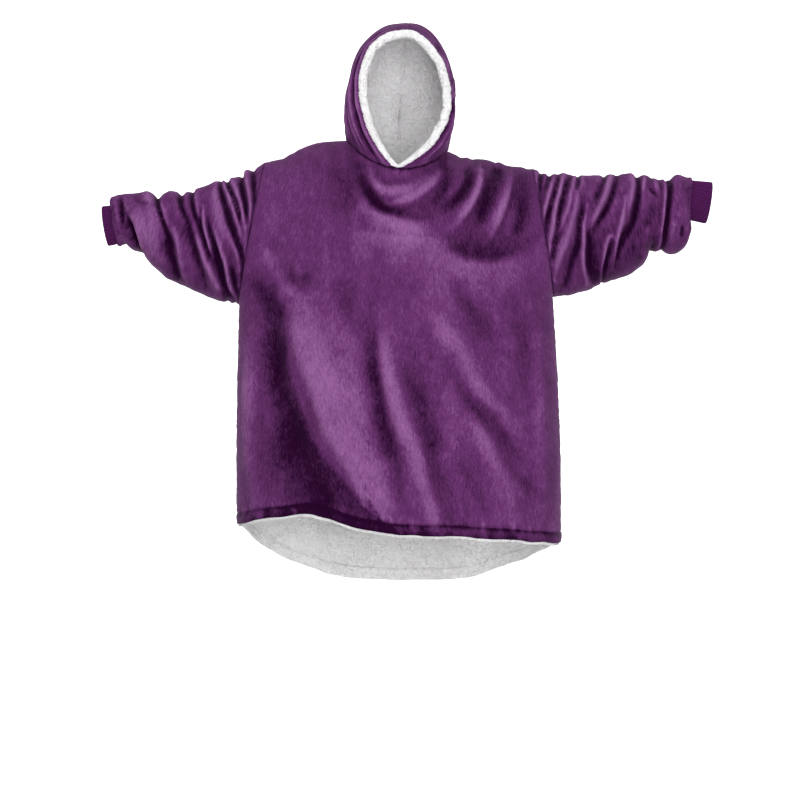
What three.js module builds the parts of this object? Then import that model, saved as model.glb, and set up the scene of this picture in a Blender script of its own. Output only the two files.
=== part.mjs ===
import * as THREE from 'three';

// Wearable blanket hoodie of plush cloth lined with sherpa, held out as it is worn, arms to the sides.
// Millimetres, +Z up, the front faces -Y. The origin lies at shoulder height in the middle of the neck.

// Walls and gaps
const plushWall = 2.6;
const sherpaWall = 4.6;
const hoodLiningWall = 5;
const ribKnitWall = 3;
const seamGap = 0.3;
const layerGap = 1.2;

// Colours of the cloths
const plushColour = 0x623465;
const ribColour = 0x471a4a;
const sherpaColour = 0xe6e2e8;

// A table is a string of column names and a list of rows
function table(columns, lines) {
  const names = columns.split(' ');
  return lines.map((line) => Object.fromEntries(names.map((name, k) => [name, line[k]])));
}

const mix = (a, b, t) => a + (b - a) * t;
const clamp01 = (t) => Math.min(Math.max(t, 0), 1);
const ease = (t) => clamp01(t) ** 2 * (3 - 2 * clamp01(t));
const power = (base, exponent) => Math.sign(base) * Math.abs(base) ** exponent;

// Value of a column at a place between rows: a cubic whose slopes come from the rows on both sides
function follow(lines, key, name, at) {
  const last = lines.length - 1;
  let k = 0;
  while (k < last - 1 && at > lines[k + 1][key]) k += 1;
  const slope = (i) => {
    const before = lines[Math.max(i - 1, 0)];
    const after = lines[Math.min(i + 1, last)];
    return (after[name] - before[name]) / (after[key] - before[key]);
  };
  const from = lines[k];
  const to = lines[k + 1];
  const span = to[key] - from[key];
  const t = clamp01((at - from[key]) / span);
  const bend = t * (1 - t) * span * ((1 - t) * slope(k) - t * slope(k + 1));
  const chord = (to[name] - from[name]) * t * (1 - t) * (1 - 2 * t);
  return mix(from[name], to[name], t) + bend - chord;
}

// Body: width at the hem, its corners, the armholes and the neck
const hemCorner = { left: { x: -383, z: -876 }, right: { x: 378, z: -919 } };
const armhole = {
  left: { top: { x: -312.5, z: -30.5 }, under: { x: -376, z: -364 } },
  right: { top: { x: 305.5, z: -47 }, under: { x: 357, z: -345.5 } },
};
const armholeDepth = { front: 88, back: 94 };
const sideSeamBulge = { left: -3, right: 6 };
const neck = {
  left: { x: -124.5, z: 19 },
  right: { x: 110.5, z: -5 },
  frontDepth: 105,
  frontDrop: 60,
  backDepth: 78,
  backRise: 12,
};
const neckColumns = 10;
const shoulderColumns = 7;
const hemRows = 11;
const armholeRows = 11;
const shoulderRounding = 125;
const armholePucker = 0.2;

const shoulderRidge = table('x z', [
  [-312.5, -30.5],
  [-273, -21],
  [-235, 0],
  [-197, 14],
  [-160, 18.5],
  [-124.5, 19],
  [110.5, -5],
  [141, -18],
  [179, -23.5],
  [216, -28],
  [254, -40],
  [305.5, -47],
]);

// Height of the lower edges across the body
const frontHem = table('x z', [
  [-383, -876],
  [-322, -860],
  [-255, -850],
  [-216, -845],
  [-177, -849],
  [-138, -862],
  [-95, -875],
  [-30, -886],
  [43, -891],
  [113, -893],
  [228, -902],
  [378, -919],
]);
const backHem = table('x z', [
  [-383, -876],
  [-350, -918],
  [-310, -950],
  [-272, -972],
  [-200, -1000],
  [-110, -1021],
  [80, -1026],
  [160, -1018],
  [220, -1000],
  [280, -978],
  [335, -950],
  [378, -919],
]);

// How far the body stands out in front and behind, by height
const bodyDepth = table('z front back', [
  [-1030, 184, 196],
  [-880, 182, 186],
  [-600, 172, 168],
  [-364, 162, 150],
  [-200, 150, 136],
  [-100, 138, 122],
  [30, 122, 100],
]);

// Main folds, soft ridges where height is above 0 and troughs below it, along a line across the panel
const foldColumns = 'x1 z1 x2 z2 width height';
const frontFolds = table(foldColumns, [
  [-91, -45, -50, -138, 15, -12],
  [-50, -138, 22, -163, 15, -12],
  [-80, -60, -22, -106, 16, 9],
  [-22, -106, 56, -76, 16, 11],
  [-78, -148, 60, -222, 26, 13],
  [186, -66, 172, -130, 14, 9],
  [172, -130, 112, -192, 16, 9],
  [259, -75, 207, -216, 18, 11],
  [100, -212, 225, -250, 22, -13],
  [225, -250, 292, -220, 20, -11],
  [-325, -288, -291, -565, 26, -15],
  [-291, -565, -205, -830, 46, -19],
  [-254, -430, -95, -800, 40, 17],
  [-41, -447, 70, -850, 34, 10],
  [30, -300, 110, -700, 28, -9],
  [113, -356, 215, -840, 36, 10],
  [205, -330, 290, -800, 30, -9],
  [240, -300, 318, -760, 30, 9],
  [-160, -250, -90, -520, 34, -8],
]);
const backFolds = table(foldColumns, [
  [-40, -40, -15, -190, 30, -9],
  [120, -80, 60, -240, 32, 10],
  [-180, -70, -100, -250, 30, 10],
  [-310, -270, -262, -640, 34, -15],
  [-262, -640, -190, -930, 46, -15],
  [-215, -380, -110, -960, 40, 13],
  [-60, -300, -20, -820, 40, -11],
  [40, -380, 75, -990, 40, 12],
  [170, -350, 150, -900, 38, -12],
  [250, -300, 240, -930, 38, 12],
  [318, -330, 310, -800, 28, -10],
]);

// Sleeves: top, bottom and depth of rings from the armhole to the cuff, and how many rings a span has
const ringColumns = 's topX topZ bottomX bottomZ front back rings';
const leftRings = table(ringColumns, [
  [0.0, -312.5, -30.5, -376, -364, 88, 94, 3],
  [0.13, -352, -50, -418, -352, 88, 92, 3],
  [0.26, -399, -66, -463, -334, 86, 88, 3],
  [0.4, -447, -80, -505, -317, 82, 84, 3],
  [0.53, -494, -93, -545, -298, 78, 80, 3],
  [0.64, -536, -98, -579, -264, 74, 75, 2],
  [0.73, -573, -106, -607, -241, 68, 69, 2],
  [0.8, -613, -104, -630, -233, 64, 64, 2],
  [0.88, -650, -106, -640, -231, 58, 58, 2],
  [0.93, -673, -115, -654, -231, 49, 49, 1],
]);
const rightRings = table(ringColumns, [
  [0.0, 305.5, -47, 357, -345.5, 88, 94, 3],
  [0.13, 352, -55, 404, -337, 88, 92, 3],
  [0.27, 411, -60, 451, -318, 86, 88, 3],
  [0.41, 470, -61, 498, -301, 82, 84, 3],
  [0.55, 529, -58, 545, -284, 78, 80, 3],
  [0.67, 576, -62, 583, -254, 72, 74, 2],
  [0.76, 614, -72, 611, -240, 68, 68, 2],
  [0.84, 650, -63, 644, -244, 66, 66, 2],
  [0.9, 677, -66, 675, -226, 60, 60, 1],
  [0.94, 688, -67, 687, -200, 53, 53, 1],
]);
const sleeveColumns = 24;
const sleeveRoundness = 0.86;

// Sleeve folds, on the front of each sleeve
const leftSleeveFolds = table(foldColumns, [
  [-650, -106, -648, -178, 10, -10],
  [-646, -148, -607, -238, 11, -13],
  [-630, -135, -588, -238, 12, 9],
  [-565, -96, -532, -204, 11, -15],
  [-532, -204, -529, -292, 14, -13],
  [-517, -96, -440, -245, 10, -6],
  [-487, -88, -458, -187, 10, -7],
  [-455, -128, -433, -262, 11, -12],
  [-440, -125, -415, -255, 11, 8],
  [-436, -190, -396, -345, 12, -14],
  [-421, -66, -363, -231, 11, -12],
  [-363, -231, -369, -330, 11, -9],
  [-380, -62, -346, -181, 10, -9],
  [-404, -120, -386, -260, 14, 7],
]);
const rightSleeveFolds = table(foldColumns, [
  [352, -70, 322, -190, 10, 8],
  [367, -74, 340, -230, 9, -8],
  [385, -68, 350, -270, 11, 9],
  [414, -55, 417, -139, 11, -12],
  [417, -139, 391, -300, 12, -13],
  [433, -148, 431, -300, 11, 8],
  [498, -60, 437, -200, 11, 8],
  [513, -64, 450, -215, 11, -12],
  [553, -62, 544, -155, 11, -11],
  [544, -155, 509, -222, 12, -12],
  [521, -125, 497, -268, 11, 10],
  [490, -215, 470, -300, 10, 9],
  [487, -232, 484, -300, 11, -10],
  [620, -70, 612, -236, 12, -16],
  [600, -90, 596, -225, 12, 7],
]);

// Cuffs: middle of the open end, direction outward, half height and half depth of the oval
const cuffs = {
  left: { end: [-691, 0, -180], axis: [-0.988, 0, -0.151], halfHeight: 43, halfDepth: 37 },
  right: { end: [724, 0, -125.5], axis: [0.989, 0, -0.145], halfHeight: 45, halfDepth: 38 },
};
const cuffLength = 70;
const cuffRows = 4;
const cuffRibs = 28;
const cuffRibHeight = 1.1;
const cuffFlare = 3.5;

// Hood: crown point and the two handles of each half's curve, from the face edge (w 0) to the back (w 1)
const hoodColumns = 'w crownX crownY crownZ x1 y1 z1 x2 y2 z2';
const leftHood = table(hoodColumns, [
  [0, 24, -108, 264, -125, -118, 50, -125, -112, 275],
  [0.2, 22, -66, 283, -150, -84, 78, -128, -66, 292],
  [0.5, 18, 0, 293, -142, -6, 112, -122, 2, 301],
  [0.78, 11, 92, 250, -120, 88, 120, -100, 96, 250],
  [1, 2, 136, 160, -4, 112, 66, -1, 146, 110],
]);
const rightHood = table(hoodColumns, [
  [0, 24, -108, 264, 212, -118, 52, 76, -112, 256],
  [0.2, 22, -66, 283, 190, -84, 66, 100, -66, 280],
  [0.5, 18, 0, 293, 138, -6, 92, 118, 2, 292],
  [0.78, 11, 92, 250, 120, 88, 104, 102, 96, 247],
  [1, 2, 136, 160, -4, 112, 66, -1, 146, 110],
]);
const hoodRows = 14;
const hoodCreaseColumns = 'w from to width height';
const leftHoodCreases = table(hoodCreaseColumns, [
  [0.16, 0.02, 0.52, 0.05, -7],
  [0.27, 0.02, 0.42, 0.045, 6],
  [0.4, 0.05, 0.34, 0.05, -5],
]);
const rightHoodCreases = table(hoodCreaseColumns, [
  [0.14, 0.06, 0.34, 0.05, -5],
  [0.3, 0.04, 0.3, 0.06, 6],
  [0.42, 0.02, 0.26, 0.05, -4],
]);

// Rolled sherpa edge round the face
const faceRoll = { height: 12, forward: 5 };
const liningBelowHem = 7;
const liningRows = 6;

// Sum of the ridges and troughs at a place on the front view: a bell across the line, fading at its ends
function foldHeight(folds, x, z) {
  let sum = 0;
  for (const fold of folds) {
    const lineX = fold.x2 - fold.x1;
    const lineZ = fold.z2 - fold.z1;
    const long = lineX ** 2 + lineZ ** 2;
    const along = ((x - fold.x1) * lineX + (z - fold.z1) * lineZ) / long;
    const near = clamp01(along);
    const away = Math.hypot(x - mix(fold.x1, fold.x2, near), z - mix(fold.z1, fold.z2, near));
    const ends = 0.55 + 0.45 * Math.sin(Math.PI * near);
    sum += fold.height * ends * Math.exp(-((away / fold.width) ** 2));
  }
  return sum;
}

// The hidden side has folds like those seen, a little moved and of other depths
function hiddenSide(folds) {
  const strengths = [0.8, 1.1, 0.6, 0.95];
  const shifts = [9, -7, 12, -4];
  return folds.map((fold, k) => ({
    ...fold,
    x1: fold.x1 + shifts[k % shifts.length],
    x2: fold.x2 - shifts[(k + 1) % shifts.length],
    height: fold.height * strengths[k % strengths.length],
  }));
}

// A sheet is a list of rows of points; it closes on itself across when wrapped
function sheetOf(rowCount, columnCount, pointAt) {
  const sheet = [];
  for (let i = 0; i < rowCount; i += 1) {
    const row = [];
    for (let j = 0; j < columnCount; j += 1) row.push(pointAt(i, j));
    sheet.push(row);
  }
  return sheet;
}

// Unit normals of a sheet, pointing away from a middle point given for each place
function normalsOf(sheet, wrapped, middleAt) {
  const rowCount = sheet.length;
  const columnCount = sheet[0].length;
  const column = (j) => (wrapped ? (j + columnCount) % columnCount : Math.min(Math.max(j, 0), columnCount - 1));
  let outward = 0;
  const normals = sheetOf(rowCount, columnCount, (i, j) => {
    const up = sheet[Math.min(i + 1, rowCount - 1)][j].clone().sub(sheet[Math.max(i - 1, 0)][j]);
    const across = sheet[i][column(j + 1)].clone().sub(sheet[i][column(j - 1)]);
    const normal = across.cross(up).normalize();
    outward += normal.dot(sheet[i][j].clone().sub(middleAt(i, j)));
    return normal;
  });
  if (outward < 0) normals.forEach((row) => row.forEach((normal) => normal.negate()));
  return normals;
}

// Points moved along their normals by a distance worked out for each place, held back at seams by keep
function moved(sheet, normals, distanceAt, keep = (vector) => vector) {
  return sheetOf(sheet.length, sheet[0].length, (i, j) => {
    const step = normals[i][j].clone().multiplyScalar(distanceAt(i, j));
    return sheet[i][j].clone().add(keep(step, i, j));
  });
}

// Closed solid between an outer and an inner sheet, with its free edges joined by strips
function wall(name, outer, inner, wrapped, material) {
  const rowCount = outer.length;
  const columnCount = outer[0].length;
  const positions = [];
  for (const sheet of [outer, inner]) {
    for (const row of sheet) {
      for (const point of row) positions.push(point.x, point.y, point.z);
    }
  }
  const place = (layer, i, j) => layer * rowCount * columnCount + i * columnCount + (j % columnCount);
  const triangles = [];
  const quad = (a, b, c, d) => triangles.push([a, b, c], [a, c, d]);
  const spans = wrapped ? columnCount : columnCount - 1;
  for (let i = 0; i < rowCount - 1; i += 1) {
    for (let j = 0; j < spans; j += 1) {
      quad(place(0, i, j), place(0, i, j + 1), place(0, i + 1, j + 1), place(0, i + 1, j));
      quad(place(1, i, j), place(1, i + 1, j), place(1, i + 1, j + 1), place(1, i, j + 1));
    }
  }
  const top = rowCount - 1;
  for (let j = 0; j < spans; j += 1) {
    quad(place(0, 0, j), place(1, 0, j), place(1, 0, j + 1), place(0, 0, j + 1));
    quad(place(0, top, j), place(0, top, j + 1), place(1, top, j + 1), place(1, top, j));
  }
  const right = columnCount - 1;
  for (let i = 0; i < top && !wrapped; i += 1) {
    quad(place(0, i, 0), place(0, i + 1, 0), place(1, i + 1, 0), place(1, i, 0));
    quad(place(0, i, right), place(1, i, right), place(1, i + 1, right), place(0, i + 1, right));
  }
  const geometry = new THREE.BufferGeometry();
  geometry.setAttribute('position', new THREE.Float32BufferAttribute(positions, 3));
  geometry.setIndex(facingOut(triangles, positions).flat());
  geometry.computeVertexNormals();
  const mesh = new THREE.Mesh(geometry, material);
  mesh.name = name;
  return mesh;
}

// Turns all triangles round if the volume they enclose comes out negative
function facingOut(triangles, positions) {
  const corner = (k) => new THREE.Vector3(positions[3 * k], positions[3 * k + 1], positions[3 * k + 2]);
  let volume = 0;
  for (const [a, b, c] of triangles) volume += corner(a).dot(corner(b).cross(corner(c)));
  return volume < 0 ? triangles.map(([a, b, c]) => [a, c, b]) : triangles;
}

// Fractions of the width where the body's columns stand: close together at the sides, with one at each
// corner of the neck and one at its middle
const topWidth = armhole.right.top.x - armhole.left.top.x;
const neckStart = (neck.left.x - armhole.left.top.x) / topWidth;
const neckEnd = (neck.right.x - armhole.left.top.x) / topWidth;
const bodyFractions = [];
for (let k = 0; k < shoulderColumns; k += 1) {
  const t = k / shoulderColumns;
  bodyFractions.push(neckStart * t * (0.45 + 0.55 * t));
}
for (let k = 0; k <= neckColumns; k += 1) bodyFractions.push(mix(neckStart, neckEnd, k / neckColumns));
for (let k = shoulderColumns - 1; k >= 0; k -= 1) {
  const t = k / shoulderColumns;
  bodyFractions.push(1 - (1 - neckEnd) * t * (0.45 + 0.55 * t));
}

// Edge of a body panel from the hem (row 0) past the underarm to the shoulder
function panelEdge(hand, side, i) {
  const { top, under } = armhole[hand];
  const corner = hemCorner[hand];
  if (i <= hemRows) {
    const t = i / hemRows;
    const bulge = sideSeamBulge[hand] * Math.sin(Math.PI * t);
    return { x: mix(corner.x, under.x, t) + bulge, z: mix(corner.z, under.z, t), depth: 0 };
  }
  const turn = (Math.PI * (i - hemRows)) / armholeRows;
  const rise = (1 - Math.cos(turn)) / 2;
  return {
    x: mix(under.x, top.x, rise),
    z: mix(under.z, top.z, rise),
    depth: armholeDepth[side] * Math.sin(turn),
  };
}

// Upper edge of a body panel: the shoulder ridge, and the neckline between its corners
function panelTop(side, fraction) {
  const x = mix(armhole.left.top.x, armhole.right.top.x, fraction);
  const q = (fraction - neckStart) / (neckEnd - neckStart);
  if (q <= 0 || q >= 1) return { x, z: follow(shoulderRidge, 'x', 'z', x), depth: 0 };
  const round = Math.sin(Math.PI * q);
  const line = mix(neck.left.z, neck.right.z, q);
  if (side === 'front') {
    return { x, z: line - neck.frontDrop * round ** 0.8, depth: neck.frontDepth * round ** 0.6 };
  }
  return { x, z: line + neck.backRise * round, depth: neck.backDepth * round ** 0.6 };
}

// Point of a body panel before its folds: x runs between the edges, z between hem and top, and the depth
// swells from the edges to the middle and rounds off below the shoulder and the neckline
function panelPoint(side, i, j) {
  const fraction = bodyFractions[j];
  const left = panelEdge('left', side, i);
  const right = panelEdge('right', side, i);
  const top = panelTop(side, fraction);
  const hemX = mix(hemCorner.left.x, hemCorner.right.x, fraction);
  const hemZ = follow(side === 'front' ? frontHem : backHem, 'x', 'z', hemX);
  const underZ = mix(armhole.left.under.z, armhole.right.under.z, fraction);
  const rise = (1 - Math.cos((Math.PI * (i - hemRows)) / armholeRows)) / 2;
  const z = i <= hemRows ? mix(hemZ, underZ, i / hemRows) : mix(underZ, top.z, rise);
  const x = mix(left.x, right.x, fraction);
  const across = (2 * Math.sqrt(fraction * (1 - fraction))) ** 0.8;
  const below = clamp01((top.z - z) / shoulderRounding);
  const rounding = top.depth > 0 ? Math.sin((Math.PI / 2) * below) : Math.sqrt(1 - (1 - below) ** 2);
  const depth = mix(top.depth, follow(bodyDepth, 'z', side, z), rounding);
  const nearEdge = clamp01(1 - Math.min(fraction, 1 - fraction) / armholePucker) ** 2;
  const edge = mix(left.depth, right.depth, fraction) * nearEdge;
  const out = i === hemRows + armholeRows ? top.depth : mix(edge, depth, across);
  return new THREE.Vector3(x, side === 'front' ? -out : out, z);
}

const panelRowCount = hemRows + armholeRows + 1;
const panelColumnCount = bodyFractions.length;
const topRow = panelRowCount - 1;
const lastColumn = panelColumnCount - 1;
const neckFirst = shoulderColumns;
const neckLast = shoulderColumns + neckColumns;

// Keeps an inward step of a panel from crossing its seams: the side and shoulder seams lie in the plane
// y 0, the armholes in planes of their own, and the hood stands on the neckline
function panelSeams(side) {
  const facing = side === 'front' ? -1 : 1;
  return (step, i, j) => {
    const onShoulder = i === topRow && (j <= neckFirst || j >= neckLast);
    const onSide = (j === 0 || j === lastColumn) && i <= hemRows;
    if ((onShoulder || onSide) && step.y * facing < 0) step.y = 0;
    if (i === topRow && step.z > 0) step.z = 0;
    if (i > hemRows && j === 0 && step.x < 0) step.x = 0;
    if (i > hemRows && j === lastColumn && step.x > 0) step.x = 0;
    return step;
  };
}

function panelSheets(side) {
  const facing = side === 'front' ? -1 : 1;
  const folds = side === 'front' ? frontFolds : backFolds;
  const base = sheetOf(panelRowCount, panelColumnCount, (i, j) => panelPoint(side, i, j));
  const middle = (i, j) => new THREE.Vector3(base[i][j].x * 0.5, 0, base[i][j].z - 60);
  const out = normalsOf(base, false, middle);
  const folded = moved(base, out, (i, j) => {
    const sides = ease(Math.min(bodyFractions[j], 1 - bodyFractions[j]) / 0.05);
    const top = ease((topRow - i) / 3);
    return foldHeight(folds, base[i][j].x, base[i][j].z) * sides * top;
  });
  for (let i = 0; i < panelRowCount; i += 1) {
    folded[i][0].y += (facing * seamGap) / 2;
    folded[i][lastColumn].y += (facing * seamGap) / 2;
  }
  for (let j = 1; j < lastColumn; j += 1) folded[topRow][j].y += (facing * seamGap) / 2;
  const normals = normalsOf(folded, false, middle);
  const keep = panelSeams(side);
  const inner = moved(folded, normals, () => -plushWall, keep);
  return { outer: folded, inner, normals, keep };
}

function plushMaterial() {
  return new THREE.MeshStandardMaterial({ color: plushColour, roughness: 0.75, metalness: 0 });
}

function ribMaterial() {
  return new THREE.MeshStandardMaterial({ color: ribColour, roughness: 0.95, metalness: 0 });
}

function sherpaMaterial() {
  return new THREE.MeshStandardMaterial({ color: sherpaColour, roughness: 1, metalness: 0 });
}

function bodyPanel(side, sheets) {
  return wall(`body_${side}`, sheets.outer, sheets.inner, false, plushMaterial());
}

// Sherpa lining of a panel, from just below its hem up as far as it shows
function bodyLining(side, sheets) {
  const dropped = (sheet) => sheet.slice(0, liningRows + 1).map((row, i) => row.map((point, j) => {
    if (i > 0) return point;
    const down = point.clone().sub(sheet[1][j]).normalize();
    return point.clone().addScaledVector(down, liningBelowHem);
  }));
  const near = moved(sheets.inner, sheets.normals, () => -layerGap, sheets.keep);
  const far = moved(sheets.inner, sheets.normals, () => -layerGap - sherpaWall, sheets.keep);
  return wall(`lining_${side}`, dropped(near), dropped(far), false, sherpaMaterial());
}

// Oval ring of a cuff at a distance from its open end, grown by a clearance
function cuffPoint(hand, distance, angle, grown) {
  const cuff = cuffs[hand];
  const axis = new THREE.Vector3(...cuff.axis);
  const upward = new THREE.Vector3(-cuff.axis[2] * Math.sign(cuff.axis[0]), 0, Math.abs(cuff.axis[0]));
  const flare = cuffFlare * (1 - distance / cuffLength) ** 2;
  const height = (cuff.halfHeight + flare + grown) * Math.cos(angle);
  const depth = (cuff.halfDepth + flare + grown) * Math.sin(angle);
  return new THREE.Vector3(...cuff.end)
    .addScaledVector(axis, -distance)
    .addScaledVector(upward, height)
    .add(new THREE.Vector3(0, -depth, 0));
}

function cuff(hand) {
  const columnCount = cuffRibs * 2;
  const angleOf = (j) => (2 * Math.PI * j) / columnCount;
  const distanceOf = (i) => (cuffLength * i) / (cuffRows - 1);
  const outer = sheetOf(cuffRows, columnCount, (i, j) => {
    const rib = j % 2 === 0 ? cuffRibHeight : 0;
    return cuffPoint(hand, distanceOf(i), angleOf(j), rib);
  });
  const inner = sheetOf(cuffRows, columnCount, (i, j) => (
    cuffPoint(hand, distanceOf(i), angleOf(j), -ribKnitWall)
  ));
  return wall(`cuff_${hand}`, outer, inner, true, ribMaterial());
}

// Rings of a sleeve, from the armhole over the full end back to the cuff's hidden edge
function sleeveRingList(hand) {
  const rings = hand === 'left' ? leftRings : rightRings;
  const list = [];
  for (let k = 0; k < rings.length; k += 1) {
    const next = k + 1 < rings.length ? rings[k + 1].s : rings[k].s;
    const count = k + 1 < rings.length ? rings[k].rings : 1;
    for (let n = 0; n < count; n += 1) list.push(mix(rings[k].s, next, n / count));
  }
  return list;
}

// Cloth tucked in over the cuff: distance from the cuff's open end and room round the cuff
const tuck = {
  left: table('distance room', [[25, 5], [32, 2.8], [50, 2.4], [70.2, 2.4], [71.2, -1.5]]),
  right: table('distance room', [[39, 5], [45, 2.8], [57, 2.4], [70.2, 2.4], [71.2, -1.5]]),
};

function sleevePoint(hand, s, j) {
  const rings = hand === 'left' ? leftRings : rightRings;
  const angle = (2 * Math.PI * j) / sleeveColumns;
  const value = (name) => follow(rings, 's', name, s);
  const down = (1 - Math.cos(angle)) / 2;
  const full = mix(1, sleeveRoundness, ease(s / 0.2));
  const depth = power(Math.sin(angle), full) * (Math.sin(angle) > 0 ? value('front') : value('back'));
  return new THREE.Vector3(
    mix(value('topX'), value('bottomX'), down),
    -depth,
    mix(value('topZ'), value('bottomZ'), down),
  );
}

function sleeve(hand) {
  const ringList = sleeveRingList(hand);
  const tucked = tuck[hand];
  const rowCount = ringList.length + tucked.length;
  const folds = hand === 'left' ? leftSleeveFolds : rightSleeveFolds;
  const hidden = hiddenSide(folds);
  const base = sheetOf(rowCount, sleeveColumns, (i, j) => {
    if (i < ringList.length) return sleevePoint(hand, ringList[i], j);
    const row = tucked[i - ringList.length];
    return cuffPoint(hand, row.distance, (2 * Math.PI * j) / sleeveColumns, row.room);
  });
  const centres = base.map((row) => row.reduce((sum, point) => sum.add(point), new THREE.Vector3())
    .divideScalar(sleeveColumns));
  const middle = (i) => centres[Math.min(i, ringList.length - 3)];
  const out = normalsOf(base, true, middle);
  const folded = moved(base, out, (i, j) => {
    if (i >= ringList.length) return 0;
    const point = base[i][j];
    const fromFront = ease(0.5 - point.y / 50);
    const height = mix(foldHeight(hidden, point.x, point.z), foldHeight(folds, point.x, point.z), fromFront);
    return height * ease(i / 3) * ease((ringList.length - i) / 3);
  });
  const seam = armholeNormal(hand);
  const cuffAxis = new THREE.Vector3(...cuffs[hand].axis);
  folded[0].forEach((point) => point.addScaledVector(seam, seamGap));
  const normals = normalsOf(folded, true, middle);
  const inner = moved(folded, normals, () => -plushWall, (step, i) => {
    const crossing = step.dot(seam);
    if (i === 0 && crossing < 0) step.addScaledVector(seam, -crossing);
    if (i === rowCount - 1) step.addScaledVector(cuffAxis, -Math.max(0, step.dot(cuffAxis)));
    return step;
  });
  return wall(`sleeve_${hand}`, folded, inner, true, plushMaterial());
}

// Direction out of the body, square to the plane that the armhole seam lies in
function armholeNormal(hand) {
  const { top, under } = armhole[hand];
  const alongX = top.x - under.x;
  const alongZ = top.z - under.z;
  const sign = hand === 'left' ? -1 : 1;
  return new THREE.Vector3(sign * alongZ, 0, -sign * alongX).normalize();
}

// Neckline points from the throat round one side to the nape
function neckPoints(hand, frontSheet, backSheet) {
  const middleColumn = neckFirst + neckColumns / 2;
  const outward = hand === 'left' ? -1 : 1;
  const points = [];
  for (let k = 0; k <= neckColumns / 2; k += 1) points.push(frontSheet[topRow][middleColumn + outward * k]);
  for (let k = neckColumns / 2 - 1; k >= 0; k -= 1) points.push(backSheet[topRow][middleColumn + outward * k]);
  return points.map((point) => point.clone().add(new THREE.Vector3(0, 0, seamGap)));
}

// Point of a hood half: a cubic curve from the neckline to the crown, pulled out by two handles
function hoodPoint(hand, start, w, s) {
  const rows = hand === 'left' ? leftHood : rightHood;
  const value = (name) => follow(rows, 'w', name, w);
  const handles = [
    start,
    new THREE.Vector3(value('x1'), value('y1'), value('z1')),
    new THREE.Vector3(value('x2'), value('y2'), value('z2')),
    new THREE.Vector3(value('crownX'), value('crownY'), value('crownZ')),
  ];
  const weights = [(1 - s) ** 3, 3 * s * (1 - s) ** 2, 3 * s ** 2 * (1 - s), s ** 3];
  const point = new THREE.Vector3();
  handles.forEach((handle, k) => point.addScaledVector(handle, weights[k]));
  return point;
}

function hoodSheets(hand, neckRow) {
  const outward = hand === 'left' ? -1 : 1;
  const creases = hand === 'left' ? leftHoodCreases : rightHoodCreases;
  const columnCount = neckRow.length;
  const wOf = (j) => j / (columnCount - 1);
  const base = sheetOf(hoodRows + 1, columnCount, (i, j) => hoodPoint(hand, neckRow[j], wOf(j), i / hoodRows));
  const middle = () => new THREE.Vector3(0, 0, 110);
  const out = normalsOf(base, false, middle);
  const folded = moved(base, out, (i, j) => {
    const s = i / hoodRows;
    let height = 0;
    for (const crease of creases) {
      const along = clamp01((s - crease.from) / (crease.to - crease.from));
      height += crease.height * Math.sin(Math.PI * along) * Math.exp(-(((wOf(j) - crease.w) / crease.width) ** 2));
    }
    return height;
  });
  const onSeam = (i, j) => i === hoodRows || j === columnCount - 1 || (i === 0 && j === 0);
  for (let i = 0; i <= hoodRows; i += 1) {
    for (let j = 0; j < columnCount; j += 1) {
      if (onSeam(i, j)) folded[i][j].x += (outward * seamGap) / 2;
    }
  }
  const normals = normalsOf(folded, false, middle);
  const backCorner = normals[hoodRows][columnCount - 1];
  backCorner.addVectors(normals[hoodRows - 1][columnCount - 1], normals[hoodRows][columnCount - 2]).normalize();
  const keep = (step, i, j) => {
    if (onSeam(i, j) && step.x * outward < 0) step.x = 0;
    if (i === 0 && step.z < 0) step.z = 0;
    return step;
  };
  return { outer: folded, normals, keep, inner: moved(folded, normals, () => -plushWall, keep) };
}

function hoodHalf(hand, sheets) {
  return wall(`hood_${hand}`, sheets.outer, sheets.inner, false, plushMaterial());
}

// Sherpa lining of a hood half; at the face edge it thickens into a roll that stands forward
function hoodLining(hand, sheets) {
  const thickness = (i, j) => hoodLiningWall + (j === 0 ? faceRoll.height - hoodLiningWall : 0);
  const near = moved(sheets.inner, sheets.normals, () => -layerGap, sheets.keep);
  const far = moved(sheets.inner, sheets.normals, (i, j) => -layerGap - thickness(i, j), sheets.keep);
  near.forEach((row, i) => {
    const forward = row[0].clone().sub(row[1]).setLength(faceRoll.forward * ease(i / 3));
    row[0].add(forward);
    far[i][0].add(forward);
  });
  return wall(`hood_lining_${hand}`, near, far, false, sherpaMaterial());
}

const garment = new THREE.Group();
const front = panelSheets('front');
const back = panelSheets('back');
garment.add(bodyPanel('front', front), bodyPanel('back', back));
garment.add(bodyLining('front', front), bodyLining('back', back));
for (const hand of ['left', 'right']) {
  garment.add(sleeve(hand), cuff(hand));
  const hood = hoodSheets(hand, neckPoints(hand, front.outer, back.outer));
  garment.add(hoodHalf(hand, hood), hoodLining(hand, hood));
}

export default garment;
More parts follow.
